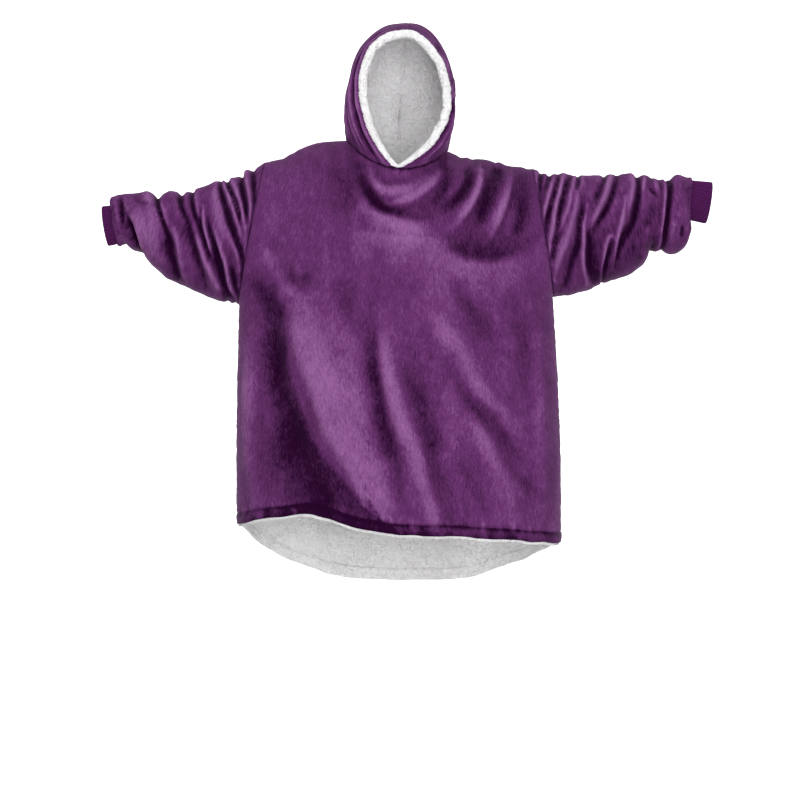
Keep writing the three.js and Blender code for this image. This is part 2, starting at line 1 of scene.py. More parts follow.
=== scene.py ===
# Wearable blanket hoodie in plush with a sherpa lining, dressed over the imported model.
import math
import bpy
import numpy as np
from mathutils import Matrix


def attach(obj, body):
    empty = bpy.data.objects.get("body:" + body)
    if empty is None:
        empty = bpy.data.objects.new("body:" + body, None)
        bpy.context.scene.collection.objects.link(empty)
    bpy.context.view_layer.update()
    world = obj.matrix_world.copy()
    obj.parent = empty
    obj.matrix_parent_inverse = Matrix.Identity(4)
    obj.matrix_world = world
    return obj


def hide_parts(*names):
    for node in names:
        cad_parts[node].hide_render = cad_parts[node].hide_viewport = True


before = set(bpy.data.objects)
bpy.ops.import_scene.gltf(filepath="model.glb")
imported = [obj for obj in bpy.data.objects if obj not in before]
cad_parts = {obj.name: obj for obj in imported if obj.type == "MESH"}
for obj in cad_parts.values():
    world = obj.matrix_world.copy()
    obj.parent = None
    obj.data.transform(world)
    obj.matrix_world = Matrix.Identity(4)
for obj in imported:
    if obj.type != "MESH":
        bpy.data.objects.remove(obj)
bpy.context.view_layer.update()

mm = 0.001

# Cloth and the small distances between its layers, in millimetres as all sizes here
cloth = dict(plushWall=2.6, sherpaWall=4.6, hoodLiningWall=5.0, ribWall=3.0, seamGap=0.04, layerGap=1.2)


# A table is a string of column names and a list of rows; each column becomes an array
def tableOf(columns, lines):
    return dict(zip(columns.split(), np.array(lines, float).T))


def mix(a, b, t):
    return a + (b - a) * t


def ease(t):  # 0 to 1 with soft ends
    t = np.clip(t, 0.0, 1.0)
    return t * t * (3 - 2 * t)


def bell(away, width):  # 1 at no distance, 0.37 at the width, and near 0 at twice the width
    return np.exp(-((away / width) ** 2))


# Value of a column between rows: a cubic whose slopes come from the rows on both sides
def follow(tab, key, name, at):
    keys, values = tab[key], tab[name]
    slopes = np.empty_like(values)
    slopes[1:-1] = (values[2:] - values[:-2]) / (keys[2:] - keys[:-2])
    slopes[0] = (values[1] - values[0]) / (keys[1] - keys[0])
    slopes[-1] = (values[-1] - values[-2]) / (keys[-1] - keys[-2])
    k = np.clip(np.searchsorted(keys, at) - 1, 0, len(keys) - 2)
    span = keys[k + 1] - keys[k]
    rise = values[k + 1] - values[k]
    t = np.clip((at - keys[k]) / span, 0, 1)
    bend = t * (1 - t) * span * ((1 - t) * slopes[k] - t * slopes[k + 1])
    return values[k] + rise * t + bend - rise * t * (1 - t) * (1 - 2 * t)


noiseCells = 32  # cells after which the noise repeats
tuftCells = 64  # and those after which the tufts do


# Smooth noise from -1 to 1: random values on a cubic lattice of the given cell size, eased between corners
def softNoise(x, y, z, size, seed):
    lattice = np.random.RandomState(seed).uniform(-1, 1, (noiseCells,) * 3)
    cells = [np.asarray(a, float) / size for a in (x, y, z)]
    base = [np.floor(a).astype(int) for a in cells]
    part = [ease(a - b) for a, b in zip(cells, base)]
    total = 0.0
    for corner in range(8):
        steps = [(corner >> k) & 1 for k in range(3)]
        weight = 1.0
        for k in range(3):
            weight = weight * (part[k] if steps[k] else 1 - part[k])
        index = tuple((base[k] + steps[k]) % noiseCells for k in range(3))
        total = total + weight * lattice[index]
    return total


# Round tufts: each cell of a jittered grid holds one centre, and a place is as high as a dome round the
# nearest centre; 1 on top of a tuft, 0 between tufts
def tufts(across, along, size, seed, spread=0.85):
    jitter = np.random.RandomState(seed).uniform(0.12, 0.88, (tuftCells, tuftCells, 2))
    a, b = across / size, along / size
    cellA, cellB = np.floor(a).astype(int), np.floor(b).astype(int)
    nearest = np.full(np.broadcast(a, b).shape, 9.0)
    for da in (-1, 0, 1):
        for db in (-1, 0, 1):
            spot = jitter[(cellA + da) % tuftCells, (cellB + db) % tuftCells]
            away = (cellA + da + spot[..., 0] - a) ** 2 + (cellB + db + spot[..., 1] - b) ** 2
            nearest = np.minimum(nearest, away)
    return np.sqrt(np.clip(1 - nearest / spread, 0, 1))


# How a fold is drawn: rounding of its crest in mm, widths that it reaches over, share of its length in which
# its ends swell, and straight parts of its curve
fold = dict(crest=1.3, reach=3.6, swell=0.35, parts=10)


# Height of ridges and troughs at places of a front view. A row holds x1 z1 x2 z2 x3 z3, the three points that
# its curve runs through, its width on the left and on the right of who follows it, its height, and its
# strength at the first and at the last point. Across it the height falls off as a bell when the power is 2,
# and as a crisper crest or crease when the power is nearer to 1
def foldField(x, z, lines, power=2.0):
    total = np.zeros_like(x)
    t = np.linspace(0, 1, fold["parts"] + 1)
    for x1, z1, x2, z2, x3, z3, left, right, height, start, end in lines:
        px, pz = [(1 - t) ** 2 * a + 2 * t * (1 - t) * (2 * b - (a + c) / 2) + t * t * c
                  for a, b, c in ((x1, x2, x3), (z1, z2, z3))]
        reach = fold["reach"] * max(left, right)
        near = (x > px.min() - reach) & (x < px.max() + reach)
        near &= (z > pz.min() - reach) & (z < pz.max() + reach)
        if not near.any():
            continue
        ax, az = x[near], z[near]
        best, along, side = np.full(ax.shape, 1e9), np.zeros(ax.shape), np.zeros(ax.shape)
        for k in range(fold["parts"]):
            dx, dz = px[k + 1] - px[k], pz[k + 1] - pz[k]
            s = np.clip(((ax - px[k]) * dx + (az - pz[k]) * dz) / (dx * dx + dz * dz), 0, 1)
            away = np.hypot(ax - px[k] - s * dx, az - pz[k] - s * dz)
            closer = away < best
            best = np.where(closer, away, best)
            along = np.where(closer, (k + s) / fold["parts"], along)
            side = np.where(closer, dx * (az - pz[k]) - dz * (ax - px[k]), side)
        ends = mix(start, 1, ease(along / fold["swell"])) * mix(end, 1, ease((1 - along) / fold["swell"]))
        across = (np.hypot(best, fold["crest"]) - fold["crest"]) / np.where(side > 0, left, right)
        total[near] += height * ends * np.exp(-across ** power)
    return total


# The same folds on the hidden side, each point moved by up to the shift, and their heights made others
def hiddenSide(lines, seed=3, shift=14, heights=(0.65, 1.1)):
    draw = np.random.RandomState(seed)
    moved = []
    for row in lines:
        place = [a + b for a, b in zip(row[:6], draw.uniform(-shift, shift, 6))]
        moved.append(place + row[6:8] + [row[8] * draw.uniform(*heights)] + row[9:])
    return moved


# Unit normals of a grid of points: the cross product of the steps along its rows and columns, turned away
# from a middle
def normalsOf(grid, wrapped, middle):
    up = np.gradient(grid, axis=0)
    across = np.roll(grid, -1, 1) - np.roll(grid, 1, 1) if wrapped else np.gradient(grid, axis=1)
    normals = np.cross(across, up)
    normals /= np.maximum(np.linalg.norm(normals, axis=2, keepdims=True), 1e-9)
    return normals if (normals * (grid - middle)).sum() > 0 else -normals


# Distance along the rows or columns of a grid, from its first
def lengthAlong(grid, axis):
    steps = np.linalg.norm(np.diff(grid, axis=axis), axis=2)
    pad = [(0, 0), (0, 0)]
    pad[axis] = (1, 0)
    return np.cumsum(np.pad(steps, pad), axis=axis)


# Average over a square of cells, twice, with the edges repeated or wrapped round: the running sum along the
# rows, then along the columns, less the sum at the other end of the square
def smoothed(values, reach, wrapped=False):
    for turn in range(4):
        axis = turn % 2
        pad = [(0, 0)] * values.ndim
        pad[axis] = (reach, reach)
        wide = np.pad(values, pad, mode="wrap" if wrapped and axis else "edge")
        pad[axis] = (1, 0)
        total = np.cumsum(np.pad(wide, pad), axis=axis)
        size = 2 * reach + 1
        values = (np.take(total, range(size, total.shape[axis]), axis)
                  - np.take(total, range(0, total.shape[axis] - size), axis)) / size
    return values


# Painted shade and highlights, partly the pile's nap: the relief's height above the middle and above its
# surroundings, each times its share, bounded softly at both ends. Painted highlights on crests, painted shade
# in creases and hollows
shadeAndNapLimit = dict(reach=3, pale=0.85, dark=1.05)


def shadeAndNapOf(relief, hollow, crest, more, wrapped=False):
    tone = hollow * relief + crest * (relief - smoothed(relief, shadeAndNapLimit["reach"], wrapped)) + more
    limit = np.where(tone > 0, shadeAndNapLimit["pale"], shadeAndNapLimit["dark"])
    return limit * np.tanh(tone / limit)


# Mesh from points in millimetres and groups of faces with equal corner counts, with values and a UV map. The
# faces point outwards, which the sign of the volume that they enclose tells
def putMesh(name, points, faceGroups, material, values, uv, flatGroups=()):
    loops = np.concatenate([group.ravel() for group in faceGroups])
    totals = np.concatenate([np.full(len(group), group.shape[1]) for group in faceGroups])
    corners = np.repeat(np.arange(len(totals)), totals)
    starts = np.concatenate([[0], np.cumsum(totals)[:-1]])
    following = np.arange(len(loops)) + 1
    following[starts + totals - 1] = starts
    cross = np.cross(points[loops], points[loops[following]])
    volume = (cross * points[loops[starts]][corners]).sum()
    if volume < 0:  # turn all faces round, so that they point outwards
        loops = loops[2 * starts[corners] + totals[corners] - 1 - np.arange(len(loops))]
    mesh = bpy.data.meshes.new(name)
    mesh.vertices.add(len(points))
    mesh.vertices.foreach_set("co", (points * mm).astype(np.float32).ravel())
    mesh.loops.add(len(loops))
    mesh.polygons.add(len(totals))
    mesh.polygons.foreach_set("loop_start", starts.astype(np.int32))
    mesh.polygons.foreach_set("vertices", loops.astype(np.int32))
    smooth = np.concatenate([np.full(len(group), k not in flatGroups) for k, group in enumerate(faceGroups)])
    mesh.polygons.foreach_set("use_smooth", smooth)
    for key, value in values.items():
        mesh.attributes.new(key, "FLOAT", "POINT").data.foreach_set("value", value.astype(np.float32))
    layer = mesh.uv_layers.new(name="clothMap")
    layer.data.foreach_set("uv", (uv[loops] * mm).astype(np.float32).ravel())
    mesh.update(calc_edges=True)
    mesh.validate()
    obj = bpy.data.objects.new(name, mesh)
    bpy.context.scene.collection.objects.link(obj)
    mesh.materials.append(material)
    return obj


# Numbers of a grid's points in rows and columns, with the first column again at the end where it goes round
def numbered(shape, first=0, wrapped=False):
    index = first + np.arange(shape[0] * shape[1]).reshape(shape)
    return np.concatenate([index, index[:, :1]], 1) if wrapped else index


# Faces between neighbours of a numbered grid
def quadsOf(index):
    return np.stack([index[:-1, :-1], index[:-1, 1:], index[1:, 1:], index[1:, :-1]], -1).reshape(-1, 4)


third = 3  # rows and columns of the visible side for one of the hidden side


# Closed shell between an outer and an inner grid: the inner one keeps each third row and column, and strips
# join the free edges
def shell(name, outer, inner, material, values, uv, wrapped=False):
    coarse = inner[::third, ::third]
    outside = numbered(outer.shape[:2], 0, wrapped)
    inside = numbered(coarse.shape[:2], outer.shape[0] * outer.shape[1], wrapped)
    back = np.roll(quadsOf(inside)[:, ::-1], 1, axis=1)
    strips = []
    borders = [(outside[0], inside[0], 1), (outside[-1], inside[-1], -1)]
    if not wrapped:
        borders += [(outside[:, 0], inside[:, 0], -1), (outside[:, -1], inside[:, -1], 1)]
    for fine, rough, turn in borders:
        spans = len(rough) - 1
        run = np.stack([fine[k:k + spans * third:third] for k in range(third + 1)], -1)
        strip = np.concatenate([run[:, ::-1], rough[:-1, None], rough[1:, None]], 1)
        strips.append(strip if turn > 0 else strip[:, ::-1])
    both = lambda grid, other, width: np.concatenate([grid.reshape(-1, width), other.reshape(-1, width)])
    points = both(outer, coarse, 3)
    full = {key: both(value, value[::third, ::third], 1).ravel() for key, value in values.items()}
    places = both(uv, uv[::third, ::third], 2)
    faces = [quadsOf(outside), back, np.concatenate(strips)]
    return putMesh(name, points, faces, material, full, places, flatGroups=(2,))


# Number of rows or columns that suits the shell's thirds: one more than a multiple of three
def thirds(count):
    return third * round(count / third) + 1


# Shader maths written as expressions on sockets
class Wire:
    def __init__(self, make, socket):
        self.make, self.socket = make, socket

    def calc(self, operation, first, second, clamp=False):
        return self.make.node("Math", dict(operation=operation, use_clamp=clamp), in0=first, in1=second)

    def __add__(self, other): return self.calc("ADD", self, other)
    def __radd__(self, other): return self.calc("ADD", self, other)
    def __sub__(self, other): return self.calc("SUBTRACT", self, other)
    def __rsub__(self, other): return self.calc("SUBTRACT", other, self)
    def __mul__(self, other): return self.calc("MULTIPLY", self, other)
    def __rmul__(self, other): return self.calc("MULTIPLY", self, other)
    def clamped(self): return self.calc("ADD", self, 0.0, clamp=True)


class Make:
    def __init__(self, name):
        self.material = bpy.data.materials.new(name)
        self.material.use_nodes = True
        self.tree = self.material.node_tree
        self.shader = self.tree.nodes["Principled BSDF"]

    def feed(self, socket, value):
        if isinstance(value, Wire):
            self.tree.links.new(value.socket, socket)
        elif value is not None:
            socket.default_value = value

    # Any node: its type, its settings, then the values or links of its sockets
    def node(self, kind, settings=None, output=0, **sockets):
        node = self.tree.nodes.new("ShaderNode" + kind)
        for key, value in (settings or {}).items():
            setattr(node, key, value)
        for key, value in sockets.items():
            self.feed(node.inputs[int(key[2:]) if key.startswith("in") else key.replace("_", " ")], value)
        return Wire(self, node.outputs[output])

    def place(self, scale=(1, 1, 1), uv=False):
        source = self.node("UVMap", dict(uv_map="clothMap")) if uv else self.node("TexCoord", output="Object")
        return self.node("VectorMath", dict(operation="MULTIPLY"), in0=source, in1=scale)

    def noise(self, place, scale, detail=2.0, roughness=0.5, distortion=0.0):
        return self.node("TexNoise", None, "Fac", Vector=place, Scale=scale, Detail=detail,
                         Roughness=roughness, Distortion=distortion)

    def value(self, name):
        return self.node("Attribute", dict(attribute_name=name), "Fac")

    def blend(self, factor, a, b):
        return self.node("Mix", dict(data_type="RGBA"), "Result", in0=factor, in6=a, in7=b)

    def bump(self, height, distance, under=None):
        return self.node("Bump", None, "Normal", Strength=1.0, Distance=distance, Height=height, Normal=under)

    def finish(self, colour, rough, normal, **constants):
        self.feed(self.shader.inputs["Base Color"], colour)
        self.feed(self.shader.inputs["Roughness"], rough)
        self.feed(self.shader.inputs["Normal"], normal)
        for key, value in constants.items():
            self.shader.inputs[key.replace("_", " ")].default_value = value
        return self.material


# Plush: painted shade in the troughs and painted highlights on the ridges from its shade-and-nap value,
# brushed patches that run with the pile
plushLook = dict(dark=(0.009, 0.0002, 0.010, 1), middle=(0.079, 0.019, 0.084, 1),
                 pale=(0.197, 0.081, 0.208, 1),
                 pileScale=520, hairScale=260, strokeScale=125, cloudScale=12,
                 pileShare=0.4, hairShare=0.55, strokeShare=0.55, cloudShare=0.35, shadeAndNapShare=0.5, tone=0.45,
                 pileDepth=0.0011, strokeDepth=0.0012, rough=0.58, roughChange=0.2, gloss=0.06,
                 glossTint=(0.62, 0.24, 0.68, 1),
                 sheen=0.12, sheenRough=0.35, sheenTint=(0.55, 0.22, 0.60, 1))


def plushMaterial():
    make, look = Make("plush"), plushLook
    pile = make.noise(make.place((1, 1, 0.6)), look["pileScale"], 3.0, 0.7)
    hairs = make.noise(make.place((1, 0.3, 1), uv=True), look["hairScale"], 3.0, 0.6, 0.8)
    strokes = make.noise(make.place((1, 0.42, 1), uv=True), look["strokeScale"], 4.0, 0.65, 1.1)
    clouds = make.noise(make.place((1, 1, 0.7)), look["cloudScale"], 2.0, 0.5, 0.6)
    shadeAndNap = make.value("shadeAndNap")
    ragged = (strokes - 0.5) * look["strokeShare"] + (hairs - 0.5) * look["hairShare"] \
        + (clouds - 0.5) * look["cloudShare"] + (pile - 0.5) * look["pileShare"]
    tone = look["tone"] + shadeAndNap * look["shadeAndNapShare"] + ragged
    low = make.blend((tone * 2).clamped(), look["dark"], look["middle"])
    colour = make.blend((tone * 2 - 1).clamped(), low, look["pale"])
    normal = make.bump(pile, look["pileDepth"], make.bump(strokes, look["strokeDepth"]))
    rough = look["rough"] + (strokes - 0.5) * look["roughChange"]
    return make.finish(colour, rough, normal, Sheen_Weight=look["sheen"], Sheen_Roughness=look["sheenRough"],
                       Sheen_Tint=look["sheenTint"], Specular_IOR_Level=look["gloss"],
                       Specular_Tint=look["glossTint"])


# Rib knit: painted shade between the ribs and painted highlight on them, with fine stitches
ribLook = dict(dark=(0.015, 0.001, 0.016, 1), pale=(0.070, 0.009, 0.074, 1),
               stitchScale=900, stitchDepth=0.0004, stitchShare=0.5, ribShare=0.75, tone=0.1,
               rough=0.9, gloss=0.05,
               sheen=0.06, sheenRough=0.5, sheenTint=(0.55, 0.22, 0.60, 1))


def ribMaterial():
    make, look = Make("rib_knit"), ribLook
    stitch = make.noise(make.place(), look["stitchScale"], 2.0, 0.6)
    rib = make.value("rib")
    tone = (rib * look["ribShare"] + (stitch - 0.5) * look["stitchShare"] + look["tone"]).clamped()
    colour = make.blend(tone, look["dark"], look["pale"])
    return make.finish(colour, look["rough"], make.bump(stitch, look["stitchDepth"]),
                       Sheen_Weight=look["sheen"], Sheen_Roughness=look["sheenRough"],
                       Sheen_Tint=look["sheenTint"], Specular_IOR_Level=look["gloss"])


# Sherpa: pale tufts with painted shade between them, with curls and lumps
sherpaLook = dict(hollow=(0.72, 0.695, 0.715, 1), tuft=(0.99, 0.975, 0.99, 1), curlScale=300, lumpScale=85,
                  curlShare=1.6, lumpShare=1.6, tuftShare=0.62, tone=0.25, curlDepth=0.006, lumpDepth=0.008,
                  rough=0.95, gloss=0.1, sheen=0.3, sheenRough=0.6)


def sherpaMaterial():
    make, look = Make("sherpa"), sherpaLook
    curls = make.noise(make.place(), look["curlScale"], 3.0, 0.62, 1.6)
    lumps = make.noise(make.place(), look["lumpScale"], 2.0, 0.6, 1.2)
    tuft = make.value("tuft")
    tone = look["tone"] + tuft * look["tuftShare"] + (curls - 0.5) * look["curlShare"] \
        + (lumps - 0.5) * look["lumpShare"]
    colour = make.blend(tone.clamped(), look["hollow"], look["tuft"])
    normal = make.bump(curls, look["curlDepth"], make.bump(lumps, look["lumpDepth"]))
    return make.finish(colour, look["rough"], normal, Sheen_Weight=look["sheen"],
                       Sheen_Roughness=look["sheenRough"], Specular_IOR_Level=look["gloss"])


plush, ribKnit, sherpa = plushMaterial(), ribMaterial(), sherpaMaterial()
print("materials made")

# Body: hem corners, armholes and neck as they are cut and worn
body = dict(hemLeft=(-383, -876), hemRight=(378, -919), topLeft=(-312.5, -30.5), topRight=(305.5, -47),
            underLeft=(-376, -364), underRight=(357, -345.5), armholeFront=88, armholeBack=94,
            bulgeLeft=-3, bulgeRight=6, neckLeft=(-124.5, 19), neckRight=(110.5, -5), neckFrontDepth=105,
            neckFrontDrop=60, neckBackDepth=78, neckBackRise=12, shoulderRounding=125, armholePucker=0.2,
            hemPart=0.6, hemStitch=24, columns=273, rows=243, rowEvenness=0.8,
            neckDropPower=0.8, neckDepthPower=0.6, neckEase=0.35, armholeEase=0.35)

shoulderRidge = tableOf("x z", [
    [-312.5, -30.5], [-273, -21], [-235, 0], [-197, 14], [-160, 18.5], [-124.5, 19],
    [110.5, -5], [141, -18], [179, -23.5], [216, -28], [254, -40], [305.5, -47]])

frontHem = tableOf("x z", [
    [-383, -876], [-322, -860], [-255, -850], [-216, -845], [-177, -849], [-138, -862],
    [-95, -875], [-30, -886], [43, -891], [113, -893], [228, -902], [378, -919]])
backHem = tableOf("x z", [
    [-383, -876], [-350, -918], [-310, -950], [-272, -972], [-200, -1000], [-110, -1021],
    [80, -1026], [160, -1018], [220, -1000], [280, -978], [335, -950], [378, -919]])

bodyDepth = tableOf("z front back", [
    [-1030, 184, 196], [-880, 182, 186], [-600, 172, 168], [-364, 162, 150],
    [-200, 150, 136], [-100, 138, 122], [30, 122, 100]])

# Folds of the front: cowl below the hood, folds from the right shoulder, long slants below them
frontFolds = [
    [-88, -42, -62, -128, 22, -163, 13, 17, -13, 0.6, 0.2],
    [-80, -58, -30, -104, 56, -72, 17, 14, 12, 0.5, 0.5],
    [-30, -128, 30, -118, 88, -62, 12, 10, 8, 0.1, 0.4],
    [-78, -146, -9, -176, 62, -220, 24, 28, 12, 0.3, 0.2],
    [190, -60, 174, -128, 116, -192, 8, 16, 8, 0.6, 0.1],
    [160, -55, 150, -110, 80, -160, 13, 13, -9, 0.6, 0.1],
    [259, -70, 236, -150, 205, -216, 8, 16, 8, 0.6, 0.1],
    [225, -60, 208, -130, 175, -200, 14, 14, -9, 0.6, 0.1],
    [290, -90, 280, -170, 262, -215, 14, 14, -8, 0.4, 0.1],
    [96, -206, 190, -252, 300, -226, 30, 20, -9, 0.1, 0.2],
    [-270, -262, -232, -320, -180, -278, 22, 26, -7, 0.1, 0.1],
    [-302, -330, -268, -590, -180, -810, 26, 34, -18, 0.2, 0.7],
    [-238, -334, -190, -545, -72, -800, 58, 24, 18, 0.1, 0.6],
    [-345, -420, -352, -640, -330, -850, 22, 16, 9, 0.2, 0.3],
    [-66, -372, -50, -588, 11, -840, 20, 26, -9, 0.1, 0.4],
    [-66, -424, -10, -590, 78, -850, 22, 22, 10, 0.1, 0.5],
    [11, -474, 61, -626, 112, -850, 24, 24, -6, 0.1, 0.4],
    [48, -372, 150, -513, 250, -690, 26, 30, 10, 0.1, 0.1],
    [100, -283, 157, -372, 222, -478, 24, 28, -5, 0.1, 0.1],
    [68, -424, 185, -600, 285, -780, 24, 24, -9, 0.1, 0.2],
    [150, -600, 205, -720, 250, -860, 24, 24, 7, 0.1, 0.3],
    [300, -380, 322, -600, 318, -830, 26, 20, 8, 0.1, 0.3],
    [262, -330, 292, -480, 300, -640, 22, 24, -7, 0.1, 0.1],
    [-150, -250, -120, -380, -95, -520, 26, 30, -7, 0.1, 0.1],
]
backFolds = [
    [-60, -20, -45, -110, 0, -190, 24, 28, -10, 0.5, 0.1],
    [90, -40, 70, -120, 20, -200, 24, 24, 9, 0.5, 0.1],
    [150, -60, 130, -170, 60, -260, 26, 30, -10, 0.4, 0.1],
    [-180, -50, -150, -150, -90, -250, 26, 26, 10, 0.5, 0.1],
    [-230, -60, -220, -170, -170, -260, 22, 26, -8, 0.5, 0.1],
    [230, -80, 222, -190, 180, -290, 24, 26, 9, 0.5, 0.1],
    [-310, -270, -285, -560, -215, -930, 30, 26, -16, 0.2, 0.6],
    [-235, -370, -190, -640, -110, -980, 34, 40, 15, 0.1, 0.5],
    [-80, -300, -70, -560, -25, -960, 26, 34, -12, 0.1, 0.5],
    [10, -340, 20, -620, 70, -1000, 34, 30, 12, 0.1, 0.5],
    [140, -330, 168, -620, 150, -960, 30, 30, -12, 0.1, 0.5],
    [225, -300, 262, -600, 235, -960, 34, 28, 12, 0.1, 0.5],
    [318, -320, 330, -560, 310, -880, 22, 26, -10, 0.2, 0.3],
    [-140, -700, -120, -860, -130, -1000, 26, 26, -8, 0.1, 0.6],
    [60, -180, 0, -240, -80, -250, 20, 26, -8, 0.1, 0.1],
]
# Broad zones of the front, lighter above 0 and darker below it: painted shade and highlights, partly the
# pile's brushed look
frontShadeZones = [
    [-334, -289, -315, -334, -276, -372, 12, 22, -0.6, 0.2, 1.0],
    [-276, -372, -246, -557, -194, -691, 11, 54, -0.85, 0.5, 1.0],
    [-194, -691, -150, -761, -92, -818, 10, 104, -0.95, 0.8, 0.9],
    [-270, -652, -251, -735, -206, -825, 60, 40, -0.35, 0.2, 0.7],
    [-238, -334, -193, -525, -79, -767, 54, 18, 0.48, 0.5, 0.8],
    [-79, -767, -60, -810, -35, -850, 60, 18, 0.4, 0.9, 0.8],
    [-130, -334, -111, -525, -66, -716, 40, 50, 0.3, 0.2, 0.4],
    [-66, -347, -50, -557, 10, -837, 14, 22, -0.5, 0.2, 0.6],
    [-50, -398, -9, -570, 74, -837, 24, 16, 0.42, 0.2, 0.7],
    [10, -461, 48, -621, 106, -837, 26, 20, -0.4, 0.2, 0.6],
    [48, -360, 131, -500, 214, -608, 30, 24, 0.5, 0.2, 0.3],
    [106, -289, 163, -385, 214, -474, 28, 26, -0.25, 0.2, 0.3],
    [74, -423, 157, -563, 265, -729, 22, 26, -0.45, 0.2, 0.2],
    [176, -589, 227, -703, 278, -843, 50, 40, 0.25, 0.1, 0.3],
    [214, -620, 250, -690, 300, -740, 10, 12, -0.35, 0.2, 0.2],
    [228, -700, 268, -760, 322, -812, 9, 12, -0.35, 0.2, 0.2],
    [120, -700, 160, -770, 196, -846, 12, 10, -0.35, 0.2, 0.5],
    [-82, -770, -68, -800, -56, -836, 7, 7, -0.45, 0.3, 0.8],
    [-353, -398, -359, -589, -353, -716, 14, 14, 0.3, 0.3, 0.4],
    [322, -372, 341, -589, 354, -843, 16, 22, -0.25, 0.2, 0.4],
    [92, -203, 180, -248, 302, -226, 52, 20, -0.72, 0.15, 0.3],
    [189, -62, 176, -128, 120, -196, 5, 8, 0.55, 0.5, 0.3],
    [255, -80, 243, -142, 205, -226, 5, 8, 0.5, 0.4, 0.4],
    [130, -85, 205, -100, 300, -95, 62, 58, -0.42, 0.5, 0.7],
    [163, -68, 131, -124, 87, -168, 20, 24, -0.4, 0.7, 0.2],
    [222, -58, 206, -118, 176, -180, 18, 20, -0.45, 0.8, 0.2],
    [286, -70, 280, -156, 264, -222, 20, 18, -0.35, 0.7, 0.3],
    [-79, -73, -15, -111, 61, -73, 14, 16, 0.6, 0.3, 0.3],
    [-50, -129, 12, -122, 84, -76, 4, 7, 0.5, 0.5, 0.4],
    [-92, -206, -10, -212, 96, -218, 5, 26, 0.35, 0.5, 0.5],
    [60, -250, 170, -300, 300, -290, 60, 60, 0.32, 0.2, 0.3],
    [-96, -84, -44, -137, 48, -168, 26, 11, -0.7, 0.6, 0.3],
    [-66, -159, -3, -182, 87, -182, 10, 42, 0.4, 0.4, 0.3],
    [-124, -41, -117, -111, -143, -207, 28, 40, -0.35, 0.8, 0.2],
    [87, -54, 61, -98, 10, -124, 8, 9, 0.6, 0.4, 0.3],
    [106, -54, 93, -111, 48, -156, 13, 13, -0.6, 0.6, 0.3],
    [-315, -226, -295, -270, -251, -334, 24, 12, 0.5, 0.2, 0.5],
    [-289, -222, -238, -305, -187, -262, 44, 14, -0.35, 0.3, 0.3],
    [-41, -219, 48, -258, 150, -283, 30, 50, 0.35, 0.3, 0.2],
]

section = dict(width=760, depth=170, power=0.8, samples=2001)


# How far the section of a panel has swelled at a share of its width: 0 at the edges, 1 in the middle
def swell(fraction):
    return (2 * np.sqrt(fraction * (1 - fraction))) ** section["power"]


# Places of the columns across a panel, evenly spaced along its rounded section, with the neck's corners kept
fineFractions = (1 - np.cos(np.linspace(0, np.pi, section["samples"]))) / 2
sectionX = section["width"] * fineFractions
sectionY = section["depth"] * swell(fineFractions)
sectionRun = np.concatenate([[0], np.cumsum(np.hypot(np.diff(sectionX), np.diff(sectionY)))])
panelColumns = thirds(body["columns"])
columnRun = np.linspace(0, sectionRun[-1], panelColumns)
fractions = np.interp(columnRun, sectionRun, fineFractions)
topWidth = body["topRight"][0] - body["topLeft"][0]
neckStart = (body["neckLeft"][0] - body["topLeft"][0]) / topWidth
neckEnd = (body["neckRight"][0] - body["topLeft"][0]) / topWidth
for corner in (neckStart, neckEnd):
    fractions[np.abs(fractions - corner).argmin()] = corner


# Where the shoulder seams gather: from and to along x, how softly each end sets in, and height
shoulderGathers = [(118, 298, 20, 16, 2.6), (-306, -228, 14, 20, 1.6)]


# Small scallops of the gathered shoulders: noise along x times the height there
def ridgeWave(x):
    height = sum(high * ease((x - start) / startFade) * ease((end - x) / endFade)
                 for start, end, startFade, endFade, high in shoulderGathers)
    return height * (softNoise(x, 0 * x, 0 * x, 13, 17) + 0.3)


# Places of the rows: even up to the underarm, and nearly even in height above it
panelRows = thirds(body["rows"])
shares = np.linspace(0, 1, panelRows)
climb = np.clip((shares - body["hemPart"]) / (1 - body["hemPart"]), 0, 1)
climb = mix(climb, np.arccos(1 - 2 * climb) / np.pi, body["rowEvenness"])
shares = np.where(shares > body["hemPart"], body["hemPart"] + (1 - body["hemPart"]) * climb, shares)


# Upper edge of a panel at a share of its width: shoulder ridge, and between the neck's corners a neckline
# that dips or rises, and comes forward or goes back, with the sine of the share q of the neck
def panelTop(side, fraction):
    x = mix(body["topLeft"][0], body["topRight"][0], fraction)
    q = np.clip((fraction - neckStart) / (neckEnd - neckStart), 0, 1)
    neckRound = np.sin(np.pi * q)
    neckZ = mix(body["neckLeft"][1], body["neckRight"][1], q)
    if side == "front":
        neckZ = neckZ - body["neckFrontDrop"] * neckRound ** body["neckDropPower"]
        neckDepth = body["neckFrontDepth"] * neckRound ** body["neckDepthPower"]
    else:
        neckZ = neckZ + body["neckBackRise"] * neckRound
        neckDepth = body["neckBackDepth"] * neckRound ** body["neckDepthPower"]
    inNeck = (q > 0) & (q < 1)
    z = np.where(inNeck, neckZ, follow(shoulderRidge, "x", "z", x) + ridgeWave(x))
    return x, z, np.where(inNeck, neckDepth, 0), neckRound


